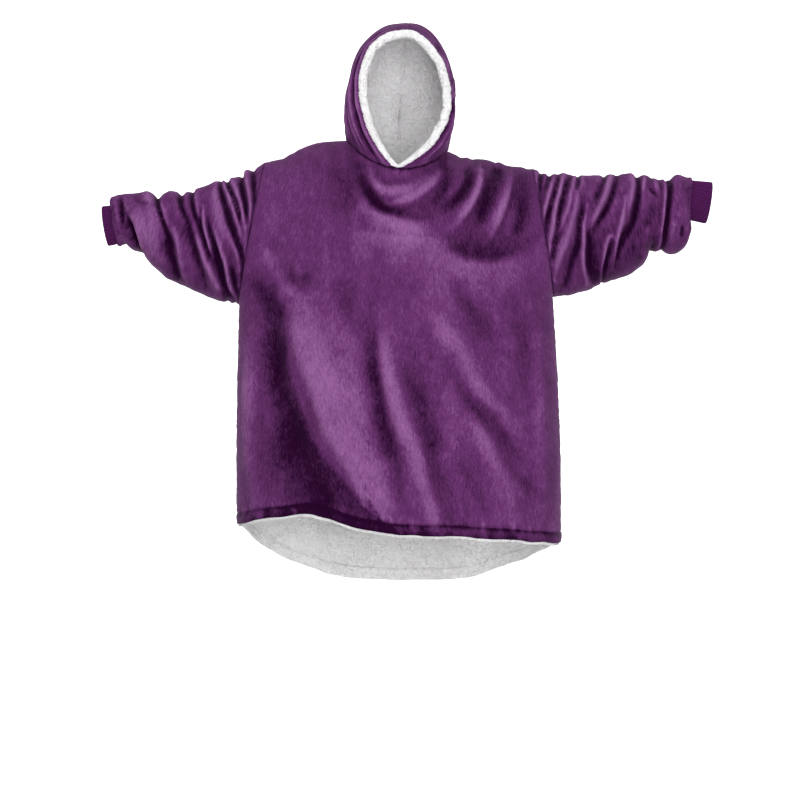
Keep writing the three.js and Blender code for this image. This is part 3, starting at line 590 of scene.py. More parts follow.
# Points of a panel: x runs between the edges, z between hem and top, and the depth swells from the edges to
# the middle and rounds off below the shoulder and the neckline
def panelPoints(side, share, fraction):
    underPart = body["hemPart"]
    low = share <= underPart
    t = np.clip(share / underPart, 0, 1)
    k = np.clip((share - underPart) / (1 - underPart), 0, 1)
    rise = (1 - np.cos(np.pi * k)) / 2
    edges = {}
    for hand in ("Left", "Right"):
        corner, under, top = body["hem" + hand], body["under" + hand], body["top" + hand]
        edges[hand] = np.where(low, mix(corner[0], under[0], t) + body["bulge" + hand] * np.sin(np.pi * t),
                               mix(under[0], top[0], rise))
    armholeDepth = body["armholeFront" if side == "front" else "armholeBack"] * np.sin(np.pi * k)
    topX, topZ, topDepth, neckRound = panelTop(side, fraction)
    hemX = mix(body["hemLeft"][0], body["hemRight"][0], fraction)
    hemZ = follow(frontHem if side == "front" else backHem, "x", "z", hemX)
    underZ = mix(body["underLeft"][1], body["underRight"][1], fraction)
    z = np.where(low, mix(hemZ, underZ, t), mix(underZ, topZ, rise))
    x = mix(edges["Left"], edges["Right"], fraction)
    below = np.clip((topZ - z) / body["shoulderRounding"], 0, 1)
    atNeck = ease(neckRound / body["neckEase"])
    rounding = mix(np.sqrt(1 - (1 - below) ** 2), np.sin(np.pi / 2 * below), atNeck)
    depth = mix(topDepth, follow(bodyDepth, "z", side, z), rounding)
    pucker = body["armholePucker"] * mix(0.1, 1, ease(k / body["armholeEase"]))
    nearEdge = np.clip(1 - np.minimum(fraction, 1 - fraction) / pucker, 0, 1) ** 2
    out = mix(armholeDepth * nearEdge, depth, swell(fraction))
    out = np.where(share >= 1, topDepth, out)
    return np.stack([x, -out if side == "front" else out, z], -1)


# Cloth beside a seam: it puffs up on both sides of the line, with small irregular gathers across it, and the
# edge itself stays where it is sewn
def seamRelief(distance, along, seed, gather=1.5, reach=13, puff=2.2, puffReach=9, line=3.0):
    waves = softNoise(along, distance * 0.2, 0 * along, 9, seed) \
        + 0.6 * softNoise(along, distance * 0.3, 0 * along, 5, seed + 1)
    held = 1 - bell(distance, line)
    return held * (gather * waves * np.exp(-distance / reach) + puff * np.exp(-distance / puffReach))


# How the cloth of the panels hangs: where its folds fade beside the edges and how they wander, its slack and
# fine unevenness, its turned hem and how much darker and patchier that is, the painted shade along the neck
# and armhole seams, and the shares of painted shade in its hollows and painted highlight on its crests
drape = dict(sideFade=45, topFade=60, wander=(7, 9), wanderSize=(90, 110), changing=0.25, changingSize=70,
             slack=2.2, slackSize=42, fine=0.7, fineSize=17,
             stitchDip=2.8, stitchWidth=2.8, hemSwell=1.6, hemMiddle=12, hemWidth=8, hemPucker=2.2,
             puckerReach=14, hemWave=1.8, hemWaveReach=40, shoulderGather=(1.6, 3.4), gatherFrom=90,
             neckShade=0.9, neckWidth=6, armholeShade=0.8, armholeWidth=4, hemDark=0.75, hemPatches=0.5,
             hollow=0.02, crest=0.2)


# Front or back: its points, moved outwards by folds, unevenness, hem and seams, and a second layer one wall
# further in
def panel(side):
    facing = -1 if side == "front" else 1
    share = shares[:, None]
    fraction = fractions[None, :]
    base = panelPoints(side, share + 0 * fraction, fraction + 0 * share)
    middle = base * np.array([0.5, 0, 1]) - np.array([0, 0, 60])
    out = normalsOf(base, False, middle)
    x, z = base[..., 0], base[..., 2]
    run = columnRun[None, :] + 0 * share
    fromSide = np.minimum(run, columnRun[-1] - run)
    height = lengthAlong(base, 0)
    fromTop = height[-1:] - height
    wx = x + drape["wander"][0] * softNoise(x, z, 0 * x, drape["wanderSize"][0], 5)
    wz = z + drape["wander"][1] * softNoise(x, z, 0 * x, drape["wanderSize"][1], 6)
    folds = frontFolds if side == "front" else backFolds
    zones = frontShadeZones if side == "front" else hiddenSide(frontShadeZones)
    relief = foldField(wx, wz, folds)
    relief = relief * (1 + drape["changing"] * softNoise(x, z, 0 * x, drape["changingSize"], 11))
    relief = relief * ease(fromSide / drape["sideFade"]) * ease(fromTop / drape["topFade"])
    # Soft unevenness of cloth that hangs
    slack = softNoise(x, z * 0.45, 0 * x, drape["slackSize"], 21) * ease(fromSide / 60) * ease(fromTop / 50)
    fine = softNoise(x, z * 0.6, 0 * x, drape["fineSize"], 22) * ease(fromSide / 25) * ease(fromTop / 25)
    relief = relief + drape["slack"] * slack + drape["fine"] * fine
    # Hem: a turned band with its stitched line, puckered above and below
    stitch = height - body["hemStitch"]
    pucker = softNoise(x, height * 0.3, 0 * x, 10, 31) * np.exp(-np.abs(stitch) / drape["puckerReach"])
    relief = relief - drape["stitchDip"] * bell(stitch, drape["stitchWidth"])
    relief = relief + drape["hemSwell"] * bell(height - drape["hemMiddle"], drape["hemWidth"])
    relief = relief + drape["hemPucker"] * pucker * ease(height / 6)
    # Side, armhole, shoulder and neckline seams
    relief = relief + seamRelief(fromSide, z, 41)
    gather = mix(*drape["shoulderGather"], ease((x - drape["gatherFrom"]) / 40))
    relief = relief + seamRelief(fromTop, x, 43, gather, reach=26)
    folded = base + out * relief[..., None]
    hem = ease(1 - height / drape["hemWaveReach"])
    folded[..., 2] += drape["hemWave"] * softNoise(x, 0 * x, 0 * x, 30, 33) * hem
    half = np.array([0, facing * cloth["seamGap"] / 2, 0])
    low = (share[:, 0] <= body["hemPart"])[:, None]
    for k in (0, -1):
        folded[:, k] = base[:, k] + half * low
    folded[-1] = base[-1] + half
    normals = normalsOf(folded, False, middle)
    step = panelSeams(side, -cloth["plushWall"] * normals)
    zoneShade = foldField(wx, wz, zones)
    q = (fractions[None, :] - neckStart) / (neckEnd - neckStart)
    atNeck = ((q > 0) & (q < 1)) * bell(fromTop, drape["neckWidth"])
    atArmhole = (share > body["hemPart"]) * bell(fromSide, drape["armholeWidth"])
    # The turned hem is darker than the cloth above it, and uneven
    patches = drape["hemDark"] + drape["hemPatches"] * softNoise(x, height * 0.5, 0 * x, 16, 35)
    inHem = ease((body["hemStitch"] + 2 - height) / 5) * patches
    # Painted shade in creases and hollows and painted highlights on crests, the zones of painted shade and
    # highlight, painted shade along the neck and armhole seams, and the darker hem
    shadeAndNap = shadeAndNapOf(relief, drape["hollow"], drape["crest"], zoneShade)
    shadeAndNap = shadeAndNap - drape["neckShade"] * atNeck - drape["armholeShade"] * atArmhole - inHem
    piece = shell("plush_" + side, folded, folded + step, plush, dict(shadeAndNap=shadeAndNap), np.stack([run, height], -1))
    return piece, folded, normals


# An inward step never crosses the seam that it starts from: the part of it that would is taken out
def panelSeams(side, step):
    facing = -1 if side == "front" else 1
    low = shares <= body["hemPart"]
    for k in (0, -1):
        inward = step[:, k]
        inward[low & (inward[:, 1] * facing < 0), 1] = 0
        sideways = inward[:, 0] < 0 if k == 0 else inward[:, 0] > 0
        inward[~low & sideways, 0] = 0
    top = step[-1]
    onShoulder = (fractions <= neckStart) | (fractions >= neckEnd)
    top[onShoulder & (top[:, 1] * facing < 0), 1] = 0
    top[top[:, 2] > 0, 2] = 0
    return step


# Every piece rides on the body and takes the place of its solid
def dress(piece, node):
    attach(piece, "root")
    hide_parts(node)


frontPiece, frontGrid, frontNormals = panel("front")
backPiece, backGrid, backNormals = panel("back")
print("front and back made")


# Direction out of the body, square to the plane of the armhole seam
def armholeNormal(hand):
    top, under = body["top" + hand.title()], body["under" + hand.title()]
    sign = -1 if hand == "left" else 1
    normal = np.array([sign * (top[1] - under[1]), 0, -sign * (top[0] - under[0])])
    return normal / np.linalg.norm(normal)


# Lining of the body: how far it hangs below the hem and stands off the plush, its stitched line, its tufts,
# its rows near the hem and above it, and how far it keeps from the seams
lining = dict(below=7, belowReach=10, loose=7, stitch=24, stitchWidth=3.5, stitchDip=0.6, tuft=8.5,
              smallTuft=0.55, smallShare=0.3, tuftHeight=3.6, sink=1.4, smooth=4, columns=204, hemRows=72,
              hemZone=175, upperRows=61, topGap=0.05, sideGap=0.15, armholeGap=1.0, armholeBelow=12,
              neckShare=0.08, neckReach=22)


# Height of the lining's tufts: large ones with small ones between them, the small ones a little moved
def liningTufts(across, along, seed, moved):
    large = tufts(across, along, lining["tuft"], seed)
    small = tufts(across + moved[0], along + moved[1], lining["tuft"] * lining["smallTuft"], seed + 1)
    return mix(large, small, lining["smallShare"])


# Sherpa of a panel, on its inside from just below the hem up to the neckline and shoulders: the panel's own
# surface at finer levels near the hem, moved inwards by gap and wall
def panelLining(side, grid, normals):
    rows, columns = grid.shape[:2]
    height = lengthAlong(grid, 0)
    hemZone = lining["hemZone"]
    total = height[-1].mean()
    levels = np.concatenate([np.linspace(0, hemZone, lining["hemRows"], endpoint=False),
                             np.linspace(hemZone, total - lining["topGap"], lining["upperRows"])])
    rowAt = np.stack([np.interp(levels, height[:, j] * total / height[-1, j], np.arange(rows))
                      for j in range(columns)], 1)
    columnAt = np.linspace(0, columns - 1, thirds(lining["columns"]))
    j0 = np.clip(columnAt.astype(int), 0, columns - 2)
    jPart = (columnAt - j0)[None, :, None]

    def sample(values):
        i0 = np.clip(rowAt.astype(int), 0, rows - 2)
        iPart = (rowAt - i0)[..., None]
        full = np.arange(columns)[None, :]
        picked = values[i0, full] * (1 - iPart) + values[i0 + 1, full] * iPart
        return picked[:, j0] * (1 - jPart) + picked[:, j0 + 1] * jPart

    surface, out = sample(grid), sample(smoothed(normals, lining["smooth"]))
    out /= np.linalg.norm(out, axis=2, keepdims=True)
    down = surface[0] - surface[1]
    down /= np.linalg.norm(down, axis=1, keepdims=True)
    hem = np.exp(-levels / lining["belowReach"])[:, None, None]
    surface = surface + down[None] * (lining["below"] - 1) * hem
    run = lengthAlong(surface, 1)
    rise = levels[:, None] + 0 * run
    curl = liningTufts(run, rise, 61, (3, 5))
    fromSide = np.minimum(run, run[:, -1:] - run)
    keep = ease(fromSide / 16)
    loose = lining["loose"] * ease((rise - 25) / 60) * ease(fromSide / 25) * ease((total - rise) / 50)
    gap = cloth["plushWall"] + cloth["layerGap"] + loose
    stitch = bell(rise - lining["stitch"], lining["stitchWidth"])
    inward = cloth["sherpaWall"] - lining["sink"] + lining["tuftHeight"] * curl * keep
    inward = inward * (1 - lining["stitchDip"] * stitch)
    # Along the neckline it meets the hood's lining, so there it stands off level, not square to the plush
    q = (np.interp(columnAt, np.arange(columns), fractions) - neckStart) / (neckEnd - neckStart)
    atNeck = ease(np.minimum(q, 1 - q) / lining["neckShare"])[None, :]
    atNeck = (atNeck * ease(1 - (total - rise) / lining["neckReach"]))[..., None]
    level = out * np.array([1, 1, 0])
    slant = np.linalg.norm(level, axis=2, keepdims=True)
    step = mix(out, level / np.maximum(slant, 0.01) / np.maximum(slant, 0.35), atNeck)
    near = surface - step * gap[..., None]
    far = surface - step * (gap + inward)[..., None]
    facing = -1 if side == "front" else 1
    for layer in (near, far):
        for k in (0, -1):
            depth = np.maximum(layer[:, k, 1] * facing, lining["sideGap"])
            layer[:, k, 1] = facing * depth
        for hand in ("Left", "Right"):  # nothing reaches through the armhole seam
            out = armholeNormal(hand.lower())
            top = body["top" + hand]
            beyond = (layer - np.array([top[0], 0, top[1]])) @ out + lining["armholeGap"]
            beside = layer[..., 2] > body["under" + hand][1] - lining["armholeBelow"]
            layer -= np.where(beside, np.maximum(beyond, 0), 0)[..., None] * out
    # Painted shade along the stitched line and beside the side seams, where the tuft value that sets the
    # sherpa's colour is low
    curl = curl * keep * (1 - 0.8 * stitch)
    # The visible face is the inner one, so it is the finer of the two grids
    return shell("sherpa_" + side, far, near, sherpa, dict(tuft=curl), np.stack([run, rise], -1))


frontLining = panelLining("front", frontGrid, frontNormals)
backLining = panelLining("back", backGrid, backNormals)
print("linings of the body made")

# Sleeves: top, bottom and depth of rings from the armhole to the cuff
ringColumns = "s topX topZ bottomX bottomZ front back"
sleeveRings = dict(left=tableOf(ringColumns, [
    [0.0, -312.5, -30.5, -376, -364, 88, 94], [0.13, -352, -51, -418, -358, 88, 92],
    [0.26, -399, -71, -463, -341, 86, 88], [0.4, -447, -83, -505, -322, 82, 84],
    [0.53, -494, -98, -545, -303, 78, 80], [0.64, -536, -101, -579, -267, 74, 75],
    [0.73, -573, -106, -604, -244, 68, 69], [0.8, -613, -104, -624, -238, 64, 64],
    [0.88, -650, -106, -637, -229, 58, 58], [0.93, -672, -114, -645, -219, 49, 49]]),
    right=tableOf(ringColumns, [
    [0.0, 305.5, -47, 357, -345.5, 88, 94], [0.13, 352, -55, 404, -341, 88, 92],
    [0.27, 411, -60, 451, -325, 86, 88], [0.41, 470, -61, 498, -308, 82, 84],
    [0.55, 529, -58, 545, -290, 78, 80], [0.67, 576, -62, 583, -254, 72, 74],
    [0.76, 614, -72, 611, -240, 68, 68], [0.84, 645, -63, 640, -247, 66, 66],
    [0.9, 660, -66, 666, -233, 60, 60], [0.94, 665, -68, 676, -206, 53, 53]]))
# Row counts, how the end turns in over the cuff, how high the soft unevenness and the gathers are, and how
# strong the painted shade and highlights are
sleeve = dict(roundness=0.86, columns=249, rows=175, tuckRows=30, turnStart=12, turnEnd=14,
              slack=1.6, fine=0.8, gathers=4.2, gatherReach=26, foldPower=1.45, outlinePower=1.6,
              hollowDark=0.075, raisedPale=0.035, crest=0.2, seamShade=0.8, seamWidth=4)
# Distance from the cuff's open end and room outside it, row by row of the part that lies over the cuff
tuck = dict(left=tableOf("distance room", [[25, 5], [32, 2.8], [50, 2.4], [70.2, 2.4]]),
            right=tableOf("distance room", [[50, 5], [55, 2.8], [62, 2.4], [70.2, 2.4]]))

sleeveFolds = dict(left=[
    [-649, -112, -649, -145, -648, -180, 5, 6, -13, 0.3, 0.2],
    [-662, -125, -658, -170, -646, -215, 8, 7, 5, 0.4, 0.3],
    [-634, -152, -617, -196, -602, -246, 6, 13, -24, 0.2, 0.1],
    [-632, -146, -612, -188, -588, -246, 26, 5, 13, 0.3, 0.8],
    [-634, -182, -626, -196, -618, -208, 9, 9, 5, 0.2, 0.2],
    [-617, -117, -600, -131, -566, -139, 5, 5, -4, 0.2, 0.3],
    [-569, -100, -548, -167, -527, -225, 6, 5, -15, 1.0, 0.6],
    [-560, -108, -549, -150, -532, -196, 5, 4, 8, 0.3, 0.3],
    [-537, -205, -530, -245, -519, -300, 9, 10, -17, 0.3, 0.7],
    [-588, -100, -572, -165, -548, -255, 16, 14, 8, 0.5, 0.3],
    [-525, -180, -513, -222, -503, -297, 9, 7, 9, 0.2, 0.5],
    [-514, -100, -508, -135, -490, -175, 5, 5, -8, 0.9, 0.3],
    [-492, -168, -476, -230, -450, -322, 8, 11, -12, 0.2, 0.5],
    [-478, -196, -455, -250, -424, -318, 9, 8, 9, 0.2, 0.3],
    [-486, -92, -480, -135, -458, -198, 4, 6, -9, 0.9, 0.2],
    [-474, -92, -468, -140, -452, -185, 12, 5, 5, 0.7, 0.2],
    [-458, -150, -456, -200, -436, -256, 4, 6, -12, 0.2, 0.3],
    [-452, -140, -447, -205, -432, -254, 4, 4, 12, 0.3, 0.2],
    [-442, -165, -432, -212, -421, -240, 4, 4, -9, 0.2, 0.4],
    [-433, -208, -417, -268, -399, -346, 7, 8, -20, 0.2, 0.7],
    [-425, -200, -408, -268, -387, -346, 7, 4, 10, 0.2, 0.6],
    [-448, -258, -430, -295, -404, -348, 7, 9, 8, 0.1, 0.6],
    [-430, -78, -422, -140, -404, -205, 14, 14, 7, 0.6, 0.3],
    [-419, -78, -396, -158, -362, -248, 5, 6, -16, 0.9, 0.4],
    [-366, -235, -360, -275, -356, -318, 6, 6, -9, 0.4, 0.2],
    [-410, -76, -388, -136, -366, -205, 4, 3, 10, 0.7, 0.3],
    [-404, -74, -384, -125, -368, -180, 4, 4, -14, 0.8, 0.2],
    [-394, -70, -370, -130, -352, -222, 5, 5, 8, 0.8, 0.3],
    [-372, -62, -362, -122, -353, -178, 5, 6, -13, 0.9, 0.2],
    [-362, -60, -347, -128, -344, -218, 5, 4, 9, 0.8, 0.3],
    [-346, -48, -337, -108, -334, -170, 5, 5, -11, 0.4, 0.2],
    [-392, -262, -381, -318, -368, -362, 6, 8, -13, 0.1, 0.8],
    [-384, -200, -374, -262, -364, -322, 7, 6, 7, 0.2, 0.2],
    [-604, -150, -588, -190, -560, -262, 22, 22, 5, 0.2, 0.3],
], right=[
    [321, -56, 311, -100, 312, -160, 5, 5, 8, 0.8, 0.2],
    [333, -54, 322, -110, 314, -170, 6, 5, -10, 0.9, 0.2],
    [352, -76, 336, -140, 318, -196, 5, 6, 10, 0.4, 0.2],
    [346, -58, 341, -82, 334, -110, 5, 5, -7, 0.8, 0.2],
    [351, -108, 338, -170, 326, -222, 6, 5, -9, 0.3, 0.2],
    [384, -60, 360, -140, 338, -282, 6, 6, 11, 0.6, 0.4],
    [372, -58, 360, -95, 348, -140, 5, 5, -8, 0.7, 0.2],
    [402, -60, 372, -126, 357, -222, 5, 5, -13, 0.8, 0.2],
    [396, -66, 386, -90, 378, -108, 4, 3, 7, 0.6, 0.2],
    [406, -62, 394, -118, 368, -196, 5, 4, 9, 0.8, 0.2],
    [372, -182, 360, -232, 344, -286, 7, 7, -8, 0.2, 0.3],
    [415, -84, 396, -176, 354, -308, 9, 10, 10, 0.3, 0.6],
    [416, -56, 415, -75, 411, -98, 3.5, 3.5, -13, 1.0, 0.3],
    [421, -120, 414, -205, 383, -320, 8, 8, -13, 0.2, 0.5],
    [431, -138, 423, -220, 431, -312, 5, 5, 11, 0.3, 0.5],
    [440, -184, 435, -248, 443, -304, 11, 6, -14, 0.2, 0.4],
    [497, -62, 470, -118, 443, -184, 6, 7, 12, 0.8, 0.3],
    [482, -62, 462, -98, 450, -128, 6, 6, -6, 0.5, 0.2],
    [506, -66, 480, -128, 449, -192, 8, 4, -13, 0.6, 0.3],
    [553, -62, 547, -140, 510, -232, 5, 7, -16, 0.8, 0.3],
    [544, -62, 538, -110, 522, -170, 6, 14, 9, 0.7, 0.3],
    [521, -118, 507, -198, 495, -278, 5, 5, 11, 0.3, 0.3],
    [516, -190, 506, -232, 499, -276, 5, 4, -10, 0.3, 0.3],
    [498, -216, 479, -218, 468, -312, 4, 5, 9, 0.2, 0.7],
    [487, -226, 476, -268, 471, -312, 5, 4, -13, 0.3, 0.8],
    [577, -176, 569, -206, 558, -234, 9, 9, 5, 0.2, 0.2],
    [623, -66, 619, -140, 609, -230, 7, 4, -19, 1.0, 0.6],
    [616, -70, 612, -140, 603, -226, 4, 6, 11, 0.9, 0.6],
    [590, -62, 594, -80, 600, -106, 4, 4, 6, 0.6, 0.2],
    [570, -66, 566, -84, 560, -106, 4, 4, 6, 0.6, 0.2],
    [578, -88, 586, -100, 592, -108, 4, 4, -5, 0.3, 0.3],
    [640, -160, 634, -190, 630, -215, 7, 7, 5, 0.2, 0.3],
    [655, -178, 656, -195, 652, -210, 4, 4, -6, 0.2, 0.2],
    [583, -118, 578, -160, 566, -200, 14, 14, -5, 0.3, 0.3],
])
# Painted shade and painted highlights on the sleeves
sleeveShadeZones = dict(left=[
    [-548, -205, -534, -245, -520, -290, 10, 12, -0.6, 0.4, 0.8],
    [-458, -150, -436, -246, -404, -346, 9, 12, -0.5, 0.4, 0.9],
    [-390, -150, -372, -262, -372, -350, 8, 8, -0.45, 0.4, 0.8],
    [-612, -140, -585, -190, -555, -255, 14, 14, 0.35, 0.4, 0.5],
    [-430, -110, -415, -170, -395, -226, 10, 10, 0.3, 0.4, 0.4],
    [-626, -178, -612, -205, -600, -240, 8, 10, -0.7, 0.5, 0.9],
    [-490, -150, -480, -200, -462, -250, 8, 8, -0.4, 0.4, 0.5],
], right=[
    [478, -292, 522, -258, 572, -226, 34, 30, -0.65, 0.9, 0.8],
    [452, -190, 448, -240, 462, -300, 12, 14, -0.45, 0.5, 0.8],
    [556, -90, 545, -160, 516, -226, 10, 16, -0.45, 0.6, 0.8],
    [610, -80, 608, -140, 604, -226, 12, 5, -0.5, 0.7, 0.9],
    [376, -190, 362, -240, 352, -300, 10, 10, 0.35, 0.4, 0.5],
    [476, -110, 470, -150, 450, -196, 9, 9, 0.25, 0.4, 0.4],
    [660, -120, 655, -165, 650, -205, 12, 12, 0.2, 0.4, 0.6],
])
# Short folds that cross the upper and lower outline, seen from the front and the back alike
outlineFolds = dict(left=[
    [-563, -84, -562, -110, -558, -150, 6, 6, -6, 1, 0.2],
    [-590, -84, -592, -104, -596, -140, 18, 18, 6, 1, 0.2],
    [-540, -80, -538, -98, -534, -130, 12, 12, 5, 1, 0.2],
    [-509, -86, -508, -108, -504, -140, 5, 6, -8, 1, 0.2],
    [-484, -80, -482, -100, -478, -130, 4, 5, -5, 1, 0.2],
    [-424, -60, -424, -76, -424, -100, 11, 11, 6, 1, 0.2],
    [-407, -62, -404, -80, -398, -110, 5, 5, -3, 1, 0.2], [-372, -50, -370, -66, -364, -95, 4, 4, -3, 1, 0.2],
    [-356, -44, -354, -58, -350, -85, 4, 4, 5, 1, 0.2], [-345, -36, -343, -52, -340, -80, 4, 4, -3, 1, 0.2],
    [-597, -258, -596, -244, -600, -215, 4, 12, -9, 1, 0.2],
    [-404, -360, -408, -348, -414, -320, 5, 6, -7, 1, 0.2],
    [-384, -372, -387, -352, -392, -330, 6, 5, -6, 1, 0.2],
], right=[
    [412, -44, 412, -62, 413, -95, 5, 5, -4, 1, 0.2], [352, -40, 350, -58, 344, -85, 5, 5, -7, 1, 0.2],
    [378, -44, 376, -58, 370, -85, 6, 6, 5, 1, 0.2], [330, -36, 328, -54, 322, -85, 5, 5, -6, 1, 0.2],
    [478, -44, 476, -62, 470, -90, 5, 5, -6, 1, 0.2], [500, -44, 498, -60, 492, -90, 7, 7, -3, 1, 0.2],
    [553, -48, 552, -64, 548, -95, 6, 6, -3, 1, 0.2],
    [618, -52, 618, -74, 616, -110, 6, 6, -3, 1, 0.2], [650, -50, 650, -66, 650, -100, 14, 14, 5, 1, 0.2],
    [588, -50, 588, -64, 590, -90, 5, 5, -5, 1, 0.2],
    [589, -268, 590, -246, 592, -210, 6, 7, -15, 1, 0.2], [570, -270, 566, -252, 560, -220, 9, 9, 5, 1, 0.2],
])

# Cuffs: middle of the open end, direction outward, half height and half depth of the oval
cuffs = dict(left=dict(end=(-691, 0, -180), axis=(-0.988, 0, -0.151), halfHeight=43, halfDepth=37),
             right=dict(end=(724, 0, -125.5), axis=(0.989, 0, -0.145), halfHeight=45, halfDepth=38))
cuffLook = dict(length=70, flare=3.5, ribs=66, ribHeight=1.3, rows=26, columns=396)


# Point of a cuff at a distance from its open end: an oval, a little wider at the end
def cuffPoints(hand, distance, angle, grown):
    cuff = cuffs[hand]
    axis = np.array(cuff["axis"])
    upward = np.array([-axis[2] * np.sign(axis[0]), 0, abs(axis[0])])
    flare = cuffLook["flare"] * (1 - distance / cuffLook["length"]) ** 2
    height = (cuff["halfHeight"] + flare + grown) * np.cos(angle)
    depth = (cuff["halfDepth"] + flare + grown) * np.sin(angle)
    distance = distance + 0 * angle
    return np.array(cuff["end"]) - distance[..., None] * axis + height[..., None] * upward \
        - depth[..., None] * np.array([0, 1, 0])


# Point of a sleeve at a share s of its length and an angle from its top line round by the front
def sleevePoints(hand, s, angle):
    rings = sleeveRings[hand]
    down = (1 - np.cos(angle)) / 2
    full = mix(1, sleeve["roundness"], ease(s / 0.2))
    sine = np.sin(angle)
    side = np.where(sine > 0, follow(rings, "s", "front", s), follow(rings, "s", "back", s))
    depth = np.sign(sine) * np.abs(sine) ** full * side
    x = mix(follow(rings, "s", "topX", s), follow(rings, "s", "bottomX", s), down)
    z = mix(follow(rings, "s", "topZ", s), follow(rings, "s", "bottomZ", s), down)
    return np.stack([x, -depth, z], -1)


# Points of a whole sleeve: its rings, a cubic curve that turns the end in, and rows that lie over the cuff
def sleeveBase(hand, angle, rows):
    tuckRows = sleeve["tuckRows"]
    s = np.linspace(0, sleeveRings[hand]["s"][-1], rows - tuckRows)[:, None]
    rings = sleevePoints(hand, s + 0 * angle, angle + 0 * s)
    keys = dict(tuck[hand], step=np.arange(4.0))
    first = cuffPoints(hand, np.full((1, 1), keys["distance"][0]), angle, keys["room"][0])[0]
    bridge = tuckRows // 3
    u = np.linspace(0, 1, bridge + 2)[1:-1, None, None]
    lead = rings[-1] - rings[-4]
    lead *= sleeve["turnStart"] / np.linalg.norm(lead, axis=1, keepdims=True)
    arrive = -np.array(cuffs[hand]["axis"]) * sleeve["turnEnd"]
    turned = (2 * u ** 3 - 3 * u ** 2 + 1) * rings[-1] + (u ** 3 - 2 * u ** 2 + u) * lead \
        + (3 * u ** 2 - 2 * u ** 3) * first + (u ** 3 - u ** 2) * arrive
    t = np.linspace(0, 3, tuckRows - bridge)[:, None]
    inside = cuffPoints(hand, follow(keys, "step", "distance", t), angle, follow(keys, "step", "room", t))
    return np.concatenate([rings, turned, inside])


# Sleeve: its points, moved outwards by folds, unevenness and gathers, and a second layer one wall further in
def sleevePiece(hand):
    angle = np.linspace(0, 2 * np.pi, sleeve["columns"], endpoint=False)[None, :]
    rows = thirds(sleeve["rows"] + sleeve["tuckRows"])
    ringRows = rows - sleeve["tuckRows"]
    base = sleeveBase(hand, angle, rows)
    middle = base.mean(1, keepdims=True)
    middle[ringRows - 6:] = middle[ringRows - 6]  # at the turned end, outwards is away from inside the sleeve
    out = normalsOf(base, True, middle)
    x, y, z = base[..., 0], base[..., 1], base[..., 2]
    rowRun = lengthAlong(base, 0)
    fromEnd = rowRun[ringRows - 1][None, :] - rowRun
    wx = x + 3 * softNoise(x, y, z, 45, 71)
    wz = z + 4 * softNoise(x, y, z, 60, 72)
    frontShare = ease(0.5 - y / 50)
    lines, power = sleeveFolds[hand], sleeve["foldPower"]
    relief = mix(foldField(wx, wz, hiddenSide(lines, 9), power), foldField(wx, wz, lines, power), frontShare)
    onTop = bell(np.minimum(angle, 2 * np.pi - angle), 0.45)
    relief = relief * (1 - 0.45 * onTop) + 0.8 * foldField(x, z, outlineFolds[hand], sleeve["outlinePower"])
    relief = relief + sleeve["slack"] * softNoise(x, y * 0.4, z * 0.4, 26, 73)
    relief = relief + sleeve["fine"] * softNoise(x, y * 0.5, z * 0.5, 11, 74)
    relief = relief * ease(rowRun / 14) * ease((fromEnd + 8) / 20)
    # Gathers that run into the cuff, and those beside the armhole seam
    around = 200 - np.abs(200 - angle / (2 * np.pi) * 400)
    atCuff = np.exp(-np.clip(fromEnd, 0, None) / sleeve["gatherReach"]) * ease((fromEnd + 40) / 30)
    gathers = softNoise(np.cos(angle) * 60 + 0 * x, np.sin(angle) * 60 + 0 * x, 0 * x, 13, 75)
    relief = relief + sleeve["gathers"] * gathers * atCuff
    relief = relief + seamRelief(rowRun, around + 0 * x, 77, 1.8, reach=18)
    folded = base + out * relief[..., None]
    seam = armholeNormal(hand)
    folded[0] = base[0] + seam * cloth["seamGap"]
    normals = normalsOf(folded, True, middle)
    step = -cloth["plushWall"] * normals
    crossing = np.minimum(step[0] @ seam, 0)
    step[0] -= crossing[:, None] * seam
    # Painted shade and highlights: zones of them on the front, painted shade in hollows and painted
    # highlights on raised parts and crests, and painted shade beside the armhole seam
    zoneShade = foldField(wx, wz, sleeveShadeZones[hand]) * frontShare - 0.1
    hollow = np.where(relief < 0, sleeve["hollowDark"], sleeve["raisedPale"])
    shadeAndNap = shadeAndNapOf(relief, hollow, sleeve["crest"], zoneShade, True)
    shadeAndNap = shadeAndNap - sleeve["seamShade"] * bell(rowRun, sleeve["seamWidth"])
    uv = np.stack([rowRun, around + 0 * x], -1)
    return shell("plush_sleeve_" + hand, folded, folded + step, plush, dict(shadeAndNap=shadeAndNap), uv, wrapped=True)


# Rib knit cuff: a doubled band whose ribs are sine waves round the oval, with a rolled open end
def cuffPiece(hand):
    angle = np.linspace(0, 2 * np.pi, cuffLook["columns"], endpoint=False)[None, :]
    distance = np.linspace(0, cuffLook["length"], thirds(cuffLook["rows"]))[:, None]
    wave = np.cos(angle * cuffLook["ribs"])
    rib = np.sign(wave) * np.abs(wave) ** 0.7
    end = np.exp(-distance / 2.2)
    outer = cuffPoints(hand, distance, angle, cuffLook["ribHeight"] * (0.5 + 0.5 * rib) - 1.5 * end)
    inner = cuffPoints(hand, distance, angle, -cloth["ribWall"] + 1.0 * end + 0 * rib)
    uv = np.stack([angle * 40 + 0 * distance, distance + 0 * angle], -1)
    height = 0.5 + 0.5 * rib + 0 * distance
    return shell("rib_cuff_" + hand, outer, inner, ribKnit, dict(rib=height), uv, wrapped=True)


sleeves = {hand: sleevePiece(hand) for hand in ("left", "right")}
cuffPieces = {hand: cuffPiece(hand) for hand in ("left", "right")}
print("sleeves and cuffs made")

